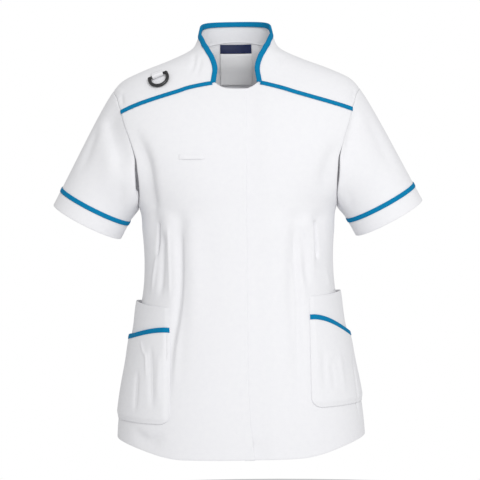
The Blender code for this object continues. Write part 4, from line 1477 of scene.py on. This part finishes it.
@dataclass
class ChestPocket:
    """The narrow welt at the mouth of the chest pocket, on the right front."""

    room: Workroom
    white: Stuff
    reach: tuple = (-100.0, -55.0)
    heights: tuple = (-194.0, -185.0)
    lift: float = 1.3
    flush: float = 0.12
    end_slopes: tuple = (4, 5)
    top_slope: float = 1.1
    columns: int = 31
    rows: int = 11
    thickness: float = 0.28

    def build(self) -> None:
        """Make the welt, a little proud of the front."""
        u, v = shares(self.columns, self.rows)
        x = self.reach[0] + (self.reach[1] - self.reach[0]) * u
        z = self.heights[0] + (self.heights[1] - self.heights[0]) * v
        places = FORM.places(x, z)
        first, last = self.end_slopes
        edge = np.minimum(ease(u * first), ease((1 - u) * last)) * (1 - ease(v * self.top_slope))
        cloth = self.room.press(Cloth.over(places, self.flush + (self.lift - self.flush) * edge))
        self.room.sheet("chest_pocket", cloth, self.white, Cut(0.045, 0.010, 0.0004), self.thickness,
                        "front_right", kind="welt")


@dataclass
class NeckLabel:
    """The label inside the back: a dark strip over a white panel, both left bare."""

    room: Workroom
    navy: Stuff
    white: Stuff
    half_width: float = 29.5
    strip: tuple = (10.5, 26.5)
    panel: tuple = (-44.0, 10.0)
    depth: float = 3.2
    curl: float = 1.2
    curl_share: float = 0.3
    curl_turn: float = 1.2
    thickness: float = 0.4
    fine: int = 25

    def part(self, name: str, heights: tuple, stuff: Stuff, cut: Cut) -> None:
        """Make one part of the label.

        Args:
            name: Name of the CAD node that it stands for.
            heights: Its lowest and highest edge.
            stuff: What it is made of.
            cut: Its flat cut.
        """
        u, v = shares(self.fine, self.fine, -1.0)
        x, z = self.half_width * u, heights[0] + (heights[1] - heights[0]) * v
        places = np.stack([180 - FORM.front_angle(x, z), z], axis=-1)
        tall = (heights[1] - heights[0]) / (self.panel[1] - self.panel[0])
        bow = self.curl * tall * np.sin(math.pi * v) ** 2 * np.cos(self.curl_turn * u)
        base = Cloth.over(places, -self.depth - self.curl_share * bow)
        facing_in = Cloth(base.points, -base.normals)
        self.room.sheet(name, facing_in, stuff, cut, self.thickness, "back")

    def build(self) -> None:
        """Make both parts."""
        self.part("label_strip", self.strip, self.navy, Cut(0.059, 0.016))
        self.part("label_panel", self.panel, self.white, Cut(0.059, 0.054))


@dataclass
class RingAndTab:
    """The D-ring and the folded cloth tab that holds its bar, on the right shoulder."""

    room: Workroom
    white: Stuff
    black: Stuff
    place: tuple = (-136.5, -45.5)
    slope: tuple = (0.94, 0.0, 0.34)
    wire: float = 2.5
    bar_half: float = 14.2
    corner: float = 1.8
    arc_radius: float = 16.0
    arc_centre: float = 7.0
    arc_swell: float = 1.2
    rest_gap: float = 1.3
    bar_points: int = 9
    corner_turns: tuple = (-60, -20, 3)
    arc_turns: tuple = (0, 180, 61)
    rod_fineness: int = 5
    tab_cloth: float = 1.2
    tab_half_width: float = 10.0
    tab_length: float = 12.0
    bar_clearance: float = 0.4
    tab_lift: float = 0.4
    layer_gap: float = 0.35
    tab_marks: tuple = (1.0, 0.72, 0.45)
    tab_turns: tuple = (-90, 135, 24)
    tab_shell: float = 1.1
    waist: tuple = ((-5.2, 3.9), (-7.6, 2.7))
    end_rise: tuple = (-9.8, 0.05)

    @property
    def bar_lift(self) -> float:
        """Height of the bar's middle above the form."""
        return self.tab_lift + self.tab_cloth + self.bar_clearance + self.wire

    def frame(self) -> tuple:
        """The ring's bar on the yoke.

        Returns:
            Its place, its point on the form, and the unit vectors along it, down and out.
        """
        angle = float(FORM.front_angle(*self.place))
        place = np.array([angle, self.place[1]])
        out = Vector(FORM.normal(angle, self.place[1]))
        slope = Vector(self.slope)
        along = (slope - out * slope.dot(out)).normalized()
        down = along.cross(out)
        if down.z > 0:
            down = -down
        return place, Vector(FORM.on(place)), along, down, out

    def build_ring(self) -> None:
        """Make the ring from one round rod, bent to a D."""
        place, point, along, down, out = self.frame()
        reach = self.arc_centre + self.arc_radius
        foot = Vector(FORM.on(FORM.shifted(place, np.array(down) * reach)))
        rest_lift = out.dot(foot - point) + self.wire + self.rest_gap
        tilt = math.asin((self.bar_lift - rest_lift) / reach)
        lying = down * math.cos(tilt) - out * math.sin(tilt)
        turn = Matrix((along, lying, along.cross(lying))).transposed().to_4x4()
        path = [(self.bar_half * s, 0.0) for s in np.linspace(-1, 1, self.bar_points)]
        bend = np.radians(np.linspace(*self.corner_turns))
        turned = [(self.arc_radius - self.corner * (1 - math.cos(a)), self.corner * (1 + math.sin(a)))
                  for a in bend]
        path += turned
        for angle in np.radians(np.linspace(*self.arc_turns)):
            path.append((self.arc_radius * math.cos(angle),
                         self.arc_centre + self.arc_radius * math.sin(angle)))
        path += [(-u, v) for u, v in turned[::-1]]
        curve = bpy.data.curves.new("d_ring_rod", "CURVE")
        curve.dimensions = "3D"
        curve.bevel_depth = self.wire * MM
        curve.bevel_resolution = self.rod_fineness
        spline = curve.splines.new("POLY")
        spline.points.add(len(path) - 1)
        place_ring = Matrix.Translation((point + out * self.bar_lift) * MM) @ turn
        for spot, (u, v) in zip(spline.points, path):
            spot.co = (*(place_ring @ Vector((u * MM, v * MM, 0))), 1)
            spot.radius = self.arc_swell if v > 0 else 1.0
        spline.use_cyclic_u = True
        rod = bpy.data.objects.new("rod", curve)
        bpy.context.scene.collection.objects.link(rod)
        bpy.context.view_layer.update()
        mesh = bpy.data.meshes.new_from_object(rod)
        bpy.data.objects.remove(rod)
        mesh.name = "d_ring_rod"
        mesh.materials.clear()
        self.room.put("d_ring_rod", mesh, self.black, ("d_ring",), RING)

    def build_tab(self) -> None:
        """Make the tab, one strip folded round the bar with both its ends sewn down."""
        _, point, along, down, out = self.frame()
        middle = self.tab_lift + self.tab_cloth / 2
        radius = self.bar_lift - middle
        upper = middle + self.tab_cloth + self.layer_gap
        path = [(-self.tab_length * share, middle) for share in self.tab_marks]
        for angle in np.radians(np.linspace(*self.tab_turns)):
            path.append((radius * math.cos(angle), self.bar_lift + radius * math.sin(angle)))
        end, rise = self.end_rise
        path = np.array(path + [*self.waist, (end, upper + rise), (-self.tab_length, upper)])
        ahead = unit(np.gradient(path, axis=0))
        side = np.stack([ahead[:, 1], -ahead[:, 0]], axis=-1)
        line = path + side * self.tab_cloth / 2
        row = np.array([point]) + line[:, :1] * np.array(down) + line[:, 1:] * np.array(out)
        look = side[:, :1] * np.array(down) + side[:, 1:] * np.array(out)
        spread = np.linspace(-1, 1, 15)
        points = np.stack([row + np.array(along) * self.tab_half_width * s for s in spread], axis=0)
        looks = np.stack([look] * len(spread), axis=0)
        self.room.sheet("ring_tab", Cloth(points, looks), self.white,
                        Cut(0.020, 0.043, None, Held.FOLDED), self.tab_shell, "yoke_right")

    def build(self) -> None:
        """Make the ring and its tab."""
        self.build_ring()
        self.build_tab()


@dataclass(frozen=True)
class Nodes:
    """A material's node tree, with short ways to add to it."""

    material: bpy.types.Material

    @classmethod
    def start(cls, name: str) -> "Nodes":
        """Begin a material with its shader.

        Args:
            name: Name of the material.

        Returns:
            The node tree, with its shader in place.
        """
        material = bpy.data.materials.new(name)
        material.use_nodes = True
        return cls(material)

    @property
    def shader(self) -> bpy.types.Node:
        """The material's main shader."""
        return self.material.node_tree.nodes["Principled BSDF"]

    def add(self, kind: str, **values: object) -> bpy.types.Node:
        """Add a node.

        Args:
            kind: Blender's name of the node's type.
            values: Properties by name, and input values by the input's name with _ for a space.

        Returns:
            The new node.
        """
        node = self.material.node_tree.nodes.new(kind)
        for key, value in values.items():
            socket = key.replace("_", " ")
            if hasattr(node, key):
                setattr(node, key, value)
            else:
                node.inputs[socket].default_value = value
        return node

    def link(self, source: bpy.types.NodeSocket, target: bpy.types.NodeSocket) -> None:
        """Join an output to an input."""
        self.material.node_tree.links.new(source, target)

    def grain(self, turn: float = 0.0) -> bpy.types.NodeSocket:
        """The piece's own cloth coordinates in metres, turned by an angle in degrees.

        Args:
            turn: Turn of the coordinates, in degrees.

        Returns:
            The coordinates.
        """
        uv = self.add("ShaderNodeUVMap", uv_map="grain")
        mapping = self.add("ShaderNodeMapping", Rotation=(0.0, 0.0, math.radians(turn)))
        self.link(uv.outputs["UV"], mapping.inputs["Vector"])
        return mapping.outputs["Vector"]

    def place(self) -> bpy.types.NodeSocket:
        """Object coordinates."""
        return self.add("ShaderNodeTexCoord").outputs["Object"]

    def threads(self, pitch: float, direction: str, turn: float = 0.0) -> bpy.types.NodeSocket:
        """Ribs at a pitch in millimetres, across X or Y of the cloth.

        Args:
            pitch: Distance between two ribs, in millimetres.
            direction: X or Y, the way across the ribs.
            turn: Turn of the cloth's coordinates, in degrees.

        Returns:
            How high the cloth is, from 0 to 1.
        """
        period = 2 * math.pi / 20
        wave = self.add("ShaderNodeTexWave", wave_type="BANDS", bands_direction=direction,
                        Scale=period / (pitch * MM), Distortion=0.4, Detail=1.0)
        self.link(self.grain(turn), wave.inputs["Vector"])
        return wave.outputs["Fac"]

    def noise(self, size: float, detail: float = 3.0, roughness: float = 0.5) -> bpy.types.NodeSocket:
        """Soft noise whose lumps are about a size in millimetres.

        Args:
            size: Size of the lumps, in millimetres.
            detail: How many finer layers it has.
            roughness: How strong the finer layers are.

        Returns:
            The noise, from 0 to 1.
        """
        noise = self.add("ShaderNodeTexNoise", Scale=1 / (size * MM), Detail=detail,
                         Roughness=roughness)
        self.link(self.place(), noise.inputs["Vector"])
        return noise.outputs["Fac"]

    def bump(self, height: bpy.types.NodeSocket, distance: float, strength: float,
             below: bpy.types.NodeSocket | None = None) -> bpy.types.NodeSocket:
        """Raise the surface by a height, over another bump if one is given.

        Args:
            height: Heights from 0 to 1.
            distance: How high 1 is, in millimetres.
            strength: How much of the bump is used.
            below: The bump that it lies on.

        Returns:
            The bumped normals.
        """
        bump = self.add("ShaderNodeBump", Distance=distance * MM, Strength=strength)
        self.link(height, bump.inputs["Height"])
        if below:
            self.link(below, bump.inputs["Normal"])
        return bump.outputs["Normal"]

    def between(self, share: bpy.types.NodeSocket, low: tuple, high: tuple,
                start: float = 0.3, end: float = 0.7) -> bpy.types.NodeSocket:
        """A colour between two, by a share.

        Args:
            share: Where the colour lies between the two.
            low: The colour at the start.
            high: The colour at the end.
            start: The share below which it is all low.
            end: The share above which it is all high.

        Returns:
            The colour.
        """
        ramp = self.add("ShaderNodeValToRGB")
        first, last = ramp.color_ramp.elements
        first.position, last.position = start, end
        first.color, last.color = (*low, 1.0), (*high, 1.0)
        self.link(share, ramp.inputs["Fac"])
        return ramp.outputs["Color"]

    def ranged(self, share: bpy.types.NodeSocket, low: float, high: float) -> bpy.types.NodeSocket:
        """A number between two, by a share.

        Args:
            share: Where the number lies between the two.
            low: The number at 0.
            high: The number at 1.

        Returns:
            The number.
        """
        node = self.add("ShaderNodeMapRange")
        node.inputs["To Min"].default_value = low
        node.inputs["To Max"].default_value = high
        self.link(share, node.inputs["Value"])
        return node.outputs["Result"]


@dataclass(frozen=True)
class WovenFinish:
    """A plain or twill weave with threads that can be seen close up."""

    name: str
    colour: tuple
    shade: tuple
    roughness: float = 0.8
    pitch: float = 0.42
    weft_pitch: float = 0.46
    turn: float = 0.0
    thread_height: float = 0.05
    crumple_height: float = 0.35
    crumple_size: float = 26.0
    sheen: float = 0.15

    def make(self) -> bpy.types.Material:
        """Make the material.

        Returns:
            The new material.
        """
        nodes = Nodes.start(self.name)
        shader = nodes.shader
        warp = nodes.threads(self.pitch, "X", self.turn)
        weft = nodes.threads(self.weft_pitch, "Y", self.turn)
        weave = nodes.add("ShaderNodeMath", operation="MAXIMUM")
        nodes.link(warp, weave.inputs[0])
        nodes.link(weft, weave.inputs[1])
        broad = nodes.bump(nodes.noise(self.crumple_size, 2.0), self.crumple_height, 0.6)
        small = nodes.bump(nodes.noise(self.crumple_size / 5, 3.0), self.crumple_height / 5, 0.5, broad)
        fine = nodes.bump(weave.outputs[0], self.thread_height, 0.5, small)
        nodes.link(fine, shader.inputs["Normal"])
        nodes.link(nodes.between(nodes.noise(9.0, 4.0, 0.65), self.shade, self.colour),
                   shader.inputs["Base Color"])
        nodes.link(nodes.ranged(weft, self.roughness - 0.06, self.roughness + 0.06),
                   shader.inputs["Roughness"])
        shader.inputs["Sheen Weight"].default_value = self.sheen
        shader.inputs["Sheen Roughness"].default_value = 0.5
        shader.inputs["Specular IOR Level"].default_value = 0.25
        return nodes.material


@dataclass(frozen=True)
class TapeFinish:
    """A folded twill tape with fine slanting ribs, its colour painted darker in the grooves between them
    as shade.
    """

    name: str
    colour: tuple
    # Colour of the low grooves between the ribs: a painted shade
    shade: tuple
    rib: float = 0.7
    slant: float = 38.0
    roughness: float = 0.75

    def make(self) -> bpy.types.Material:
        """Make the material.

        Returns:
            The new material.
        """
        nodes = Nodes.start(self.name)
        shader = nodes.shader
        ribs = nodes.threads(self.rib, "X", self.slant)
        soft = nodes.bump(nodes.noise(7.0, 3.0), 0.12, 0.5)
        nodes.link(nodes.bump(ribs, 0.08, 0.6, soft), shader.inputs["Normal"])
        # Colour: painted shade, darker in the low grooves between the ribs, mixed with a tone that
        # differs at random
        groove_shade_and_tone = nodes.add("ShaderNodeMath", operation="MULTIPLY_ADD")
        nodes.link(ribs, groove_shade_and_tone.inputs[0])
        groove_shade_and_tone.inputs[1].default_value = 0.35
        nodes.link(nodes.noise(4.0, 4.0, 0.6), groove_shade_and_tone.inputs[2])
        nodes.link(nodes.between(groove_shade_and_tone.outputs[0], self.shade, self.colour, 0.35, 0.85),
                   shader.inputs["Base Color"])
        nodes.link(nodes.ranged(ribs, self.roughness, self.roughness + 0.15),
                   shader.inputs["Roughness"])
        shader.inputs["Specular IOR Level"].default_value = 0.12
        return nodes.material


@dataclass(frozen=True)
class EnamelFinish:
    """Smooth dark enamel with faint wear."""

    name: str
    colour: tuple
    worn: tuple
    roughness: float = 0.32

    def make(self) -> bpy.types.Material:
        """Make the material.

        Returns:
            The new material.
        """
        nodes = Nodes.start(self.name)
        shader = nodes.shader
        nodes.link(nodes.between(nodes.noise(1.5, 5.0, 0.7), self.colour, self.worn, 0.45, 0.85),
                   shader.inputs["Base Color"])
        nodes.link(nodes.ranged(nodes.noise(2.4, 4.0), self.roughness - 0.08, self.roughness + 0.12),
                   shader.inputs["Roughness"])
        nodes.link(nodes.bump(nodes.noise(0.8, 3.0), 0.03, 0.3), shader.inputs["Normal"])
        shader.inputs["Coat Weight"].default_value = 0.25
        shader.inputs["Coat Roughness"].default_value = 0.2
        return nodes.material


@dataclass
class Studio:
    """A pale floor, soft light and the camera in front."""

    camera_height: float = -0.333
    camera_distance: float = 2.4
    camera_x: float = 0.0027
    lens: float = 100.0
    roll: float = -0.8
    floor_z: float = -1.05
    floor_radius: float = 1.6
    sky: float = 0.60
    aim: tuple = (0.0, 0.0, -0.33)
    lamps: tuple = (("key", (0.8, -3.0, 1.1), 1.5, 42.0), ("fill", (0.6, -2.4, -0.6), 2.4, 7.0))

    def build(self) -> None:
        """Make the floor, the world, the lamps and the camera."""
        self.floor()
        self.world(self.sky)
        for lamp in self.lamps:
            self.lamp(*lamp)
        self.camera()

    def floor(self) -> None:
        """Make the floor, below the camera's view."""
        bm = bmesh.new()
        bmesh.ops.create_circle(bm, cap_ends=True, segments=96, radius=self.floor_radius)
        bmesh.ops.translate(bm, verts=bm.verts[:], vec=(0.0, 0.0, self.floor_z))
        mesh = bpy.data.meshes.new("studio_floor")
        bm.to_mesh(mesh)
        bm.free()
        nodes = Nodes.start("studio_floor_paint")
        nodes.link(nodes.between(nodes.noise(180.0, 2.0), (0.84, 0.84, 0.85), (0.88, 0.88, 0.88)),
                   nodes.shader.inputs["Base Color"])
        nodes.shader.inputs["Roughness"].default_value = 0.9
        mesh.materials.append(nodes.material)
        floor = bpy.data.objects.new("studio_floor", mesh)
        bpy.context.scene.collection.objects.link(floor)

    @staticmethod
    def world(strength: float) -> None:
        """Light evenly from all round, with plain white behind.

        Args:
            strength: Strength of the light.
        """
        world = bpy.data.worlds.new("studio_world")
        world.use_nodes = True
        tree = world.node_tree
        light = tree.nodes["Background"]
        light.inputs["Color"].default_value = (1.0, 1.0, 1.0, 1.0)
        light.inputs["Strength"].default_value = strength
        behind = tree.nodes.new("ShaderNodeBackground")
        behind.inputs["Color"].default_value = (1.0, 1.0, 1.0, 1.0)
        behind.inputs["Strength"].default_value = 1.0
        path = tree.nodes.new("ShaderNodeLightPath")
        mix = tree.nodes.new("ShaderNodeMixShader")
        tree.links.new(path.outputs["Is Camera Ray"], mix.inputs[0])
        tree.links.new(light.outputs[0], mix.inputs[1])
        tree.links.new(behind.outputs[0], mix.inputs[2])
        tree.links.new(mix.outputs[0], tree.nodes["World Output"].inputs["Surface"])
        bpy.context.scene.world = world
        bpy.context.scene.view_settings.view_transform = "Standard"

    def lamp(self, name: str, place: tuple, size: float, power: float) -> None:
        """Make one large soft lamp that faces the tunic.

        Args:
            name: Name of the lamp.
            place: Where it stands, in metres.
            size: Its diameter, in metres.
            power: Its power, in watts.
        """
        data = bpy.data.lights.new(name, "AREA")
        data.shape = "DISK"
        data.size = size
        data.energy = power
        lamp = bpy.data.objects.new(name, data)
        lamp.location = place
        aim = Vector(self.aim) - Vector(place)
        lamp.rotation_euler = aim.to_track_quat("-Z", "Y").to_euler()
        bpy.context.scene.collection.objects.link(lamp)

    def camera(self) -> None:
        """Make the camera, level, with the photograph's slight roll."""
        data = bpy.data.cameras.new("camera")
        data.lens = self.lens
        data.sensor_width = 36.0
        camera = bpy.data.objects.new("camera", data)
        upright = Matrix.Rotation(math.radians(90), 4, "X")
        roll = Matrix.Rotation(math.radians(self.roll), 4, "Z")
        camera.matrix_world = (Matrix.Translation((self.camera_x, -self.camera_distance,
                                                   self.camera_height)) @ upright @ roll)
        bpy.context.scene.collection.objects.link(camera)
        bpy.context.scene.camera = camera


# Creases of the body: the armpits, the tucks, the folds below them, the collar
BODY_CREASES = (
    Crease(((-186, -128), (-168, -165), (-156, -203), (-151, -246), (-152, -296)), -10.0, 12.0, 24.0,
           0.45, 0.25),
    Crease(((182, -156), (168, -183), (155, -216), (147, -262)), -6.0, 24.0, 15.0, 0.35, 0.4),
    Crease(((-138, -301), (-140, -331), (-143, -360)), -10.0, 1.9, 4.2, 0.08, 0.3),
    Crease(((-143, -350), (-148, -391), (-155, -430)), 2.6, 4.0, 5.0, 0.3, 0.4),
    Crease(((-130, -311), (-132, -365), (-139, -436)), -4.4, 8.0, 7.0, 0.22, 0.25),
    Crease(((-119, -303), (-119, -365), (-121, -436)), 1.8, 2.4, 4.0, 0.14, 0.25),
    Crease(((-94, -302), (-93, -403), (-100, -468), (-109, -519), (-114, -616)), 4.0, 19.0, 4.5,
           0.2, 0.4),
    Crease(((-103, -304), (-102, -403), (-109, -468), (-117, -519), (-121, -616)), -4.0, 7.0, 9.0,
           0.16, 0.4),
    Crease(((134, -302), (135, -335), (137, -371)), -11.0, 4.6, 2.1, 0.08, 0.3),
    Crease(((128, -303), (129, -345), (131, -395)), 2.0, 2.4, 5.0, 0.14, 0.5),
    Crease(((112, -308), (116, -372), (119, -428)), -4.0, 9.0, 9.0, 0.25, 0.4),
    Crease(((97, -303), (98, -368), (102, -442), (101, -515), (99, -624)), -2.4, 6.0, 4.0, 0.16, 0.45),
    Crease(((104, -345), (109, -400), (116, -448)), 1.8, 7.0, 6.0, 0.3, 0.4),
    Crease(((148, -380), (155, -402), (162, -424)), 1.8, 8.0, 8.0, 0.4, 0.4),
    Crease(((-190, -654), (-174, -667), (-156, -673), (-140, -668), (-126, -658)), -4.0, 9.0, 15.0,
           0.4, 0.4),
    Crease(((193, -538), (201, -604), (208, -654)), -2.2, 5.0, 4.0, 0.3, 0.3),
    Crease(((-70, 0), (-73, -20), (-77, -46)), -2.0, 3.5, 5.0, 0.3, 0.4),
    Crease(((-60, -8), (-63, -26), (-67, -52)), -1.5, 3.0, 4.5, 0.3, 0.5),
    Crease(((72, -2), (76, -26), (79, -44)), -1.0, 4.0, 4.0, 0.3, 0.5),
    Crease(((-203, -71), (-201, -84), (-198, -99)), -1.8, 4.0, 5.0, 0.3, 0.4),
    Crease(((-213, -60), (-206, -66), (-196, -70)), 1.3, 4.0, 5.0, 0.4, 0.4),
    Crease(((208, -66), (205, -82), (200, -98)), -1.2, 4.0, 4.0, 0.3, 0.4),
    Crease(((-118, -301), (-116, -420), (-128, -540)), -4.0, 3.0, 7.0, 0.06, 0.4, True),
    Crease(((-106, -304), (-104, -400), (-112, -470)), 2.2, 6.0, 4.0, 0.1, 0.4, True),
    Crease(((-80, -302), (-78, -390), (-84, -500)), -3.0, 4.0, 8.0, 0.06, 0.5, True),
    Crease(((114, -301), (113, -400), (121, -500)), -4.2, 7.0, 3.0, 0.06, 0.4, True),
    Crease(((104, -306), (102, -380), (106, -440)), 2.0, 5.0, 6.0, 0.1, 0.4, True),
    Crease(((76, -302), (75, -410), (82, -560)), -2.6, 7.0, 4.0, 0.06, 0.5, True),
    Crease(((-178, -150), (-162, -190), (-146, -236), (-138, -280)), -4.0, 9.0, 15.0, 0.3, 0.4, True),
    Crease(((176, -146), (160, -182), (150, -222), (140, -262)), -4.4, 14.0, 10.0, 0.3, 0.4, True),
    Crease(((-60, -250), (-10, -262), (48, -254)), -1.6, 9.0, 7.0, 0.4, 0.4, True),
    Crease(((-52, -274), (4, -286), (66, -272)), 1.4, 7.0, 9.0, 0.4, 0.4, True),
)

# Creases of the sleeves, both as on the wearer's left, by distance from the centre line and height
RIGHT_SLEEVE_CREASES = (
    Crease(((231, -106), (222, -134), (212, -164), (203, -196), (199, -236)), -7.0, 14.0, 24.0,
           0.2, 0.4),
    Crease(((246, -118), (255, -151), (268, -190), (281, -219)), -3.4, 12.0, 12.0, 0.35, 0.45),
    Crease(((220, -140), (220, -194), (235, -262)), 2.4, 20.0, 20.0, 0.45, 0.4),
    Crease(((196, -230), (205, -262), (214, -288)), -1.8, 8.0, 6.0, 0.3, 0.4),
    Crease(((216, -108), (206, -140), (188, -176), (180, -214)), -4.6, 9.0, 8.0, 0.25, 0.4, True),
    Crease(((240, -120), (246, -170), (262, -214)), -3.4, 9.0, 10.0, 0.3, 0.4, True),
    Crease(((226, -150), (230, -210), (240, -266)), 2.6, 12.0, 13.0, 0.4, 0.4, True),
)
LEFT_SLEEVE_CREASES = (
    Crease(((210, -104), (201, -140), (192, -179), (187, -225)), -5.0, 10.0, 9.0, 0.25, 0.4),
    Crease(((223, -128), (229, -200), (216, -268)), 2.0, 20.0, 20.0, 0.45, 0.4),
    Crease(((222, -98), (253, -170), (282, -232)), -2.2, 14.0, 12.0, 0.35, 0.4),
    Crease(((188, -240), (198, -266), (204, -290)), -1.4, 7.0, 7.0, 0.3, 0.4),
    Crease(((214, -104), (204, -142), (190, -184), (182, -222)), -4.2, 8.0, 9.0, 0.25, 0.4, True),
    Crease(((236, -116), (248, -168), (258, -206)), -3.0, 10.0, 9.0, 0.3, 0.4, True),
    Crease(((222, -160), (232, -214), (236, -262)), 2.4, 13.0, 12.0, 0.4, 0.4, True),
)

# Creases of the over pockets
RIGHT_POCKET_CREASES = (
    Crease(((-169, -505), (-164, -525), (-160, -533), (-159, -578)), 1.5, 2.2, 2.6, 0.1, 0.4),
    Crease(((-151, -508), (-150, -560), (-148, -629)), -2.2, 5.0, 6.0, 0.2, 0.3),
    Crease(((-136, -518), (-138, -570), (-138, -621)), 1.6, 6.0, 5.0, 0.3, 0.4),
    Crease(((-174, -552), (-177, -590), (-180, -632)), -2.4, 5.0, 6.0, 0.3, 0.3),
)
LEFT_POCKET_CREASES = (
    Crease(((140, -514), (142, -560), (143, -606)), -1.6, 6.0, 6.0, 0.3, 0.4),
    Crease(((168, -523), (172, -560), (178, -606)), 1.4, 7.0, 6.0, 0.3, 0.4),
    Crease(((152, -540), (158, -575), (160, -600)), -1.2, 5.0, 6.0, 0.3, 0.4),
)


def main() -> None:
    """Build the tunic piece by piece, then the studio."""
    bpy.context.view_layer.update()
    white = Stuff(WovenFinish("white_poplin", (0.87, 0.87, 0.89), (0.85, 0.85, 0.875)).make(),
                  "white_cloth")
    # The second blue is the painted shade in the tape's rib grooves
    blue = Stuff(TapeFinish("blue_twill", (0.001, 0.222, 0.445), (0.0006, 0.175, 0.375)).make(),
                 "blue_trim")
    navy = Stuff(WovenFinish("navy_satin", (0.008, 0.018, 0.080), (0.006, 0.013, 0.062), 0.45, 0.3, 0.3,
                             crumple_height=0.1).make(), "navy_label")
    label = Stuff(WovenFinish("label_satin", (0.94, 0.94, 0.94), (0.91, 0.91, 0.92), 0.5, 0.3, 0.3,
                              crumple_height=0.1).make(), "white_label")
    black = Stuff(EnamelFinish("black_enamel", (0.010, 0.010, 0.011), (0.03, 0.03, 0.032)).make(),
                  "black_ring")

    room = Workroom()
    room.creases = [(crease, crease.route()) for crease in BODY_CREASES]
    lines = SeamLines(4)
    for side in Side:
        for seam in (join(lines.side(), lines.front_arm()), lines.back_arm(), lines.yoke_arm(),
                     lines.shoulder()):
            room.seams.append(SeamDip(FORM.on(mirrored(seam, side))))
        room.seams.append(SeamDip(FORM.on(mirrored(lines.yoke_line(side), side)), depth=0.0))
    neck = round_back(NECK_SEAM_SIDE_Z, NECK_SEAM_BACK_Z, NECK_SEAM_ROUNDNESS, 60)
    room.seams.append(SeamDip(FORM.on(neck)))

    Fronts(room, white).build()
    back = BackAndCollar(room, white)
    back.build()
    for side, creases in ((Side.RIGHT, RIGHT_SLEEVE_CREASES), (Side.LEFT, LEFT_SLEEVE_CREASES)):
        Yoke(room, side, white).build()
        Sleeve(room, side, white, blue, creases).build()
    HipPockets(room, Side.RIGHT, white, blue, (-448, -441), (-482, -502), -645,
               RIGHT_POCKET_CREASES).build()
    HipPockets(room, Side.LEFT, white, blue, (-432, -427), (-463, -502), -620,
               LEFT_POCKET_CREASES).build()
    Trims(room, blue).build(Yoke(room, Side.LEFT, white), back)
    ChestPocket(room, white).build()
    NeckLabel(room, navy, label).build()
    RingAndTab(room, white, black).build()
    Studio().build()
    log.info("%d pieces made", room.made)


if __name__ == "__main__":
    logging.basicConfig(level=logging.INFO, format="%(message)s")
    main()
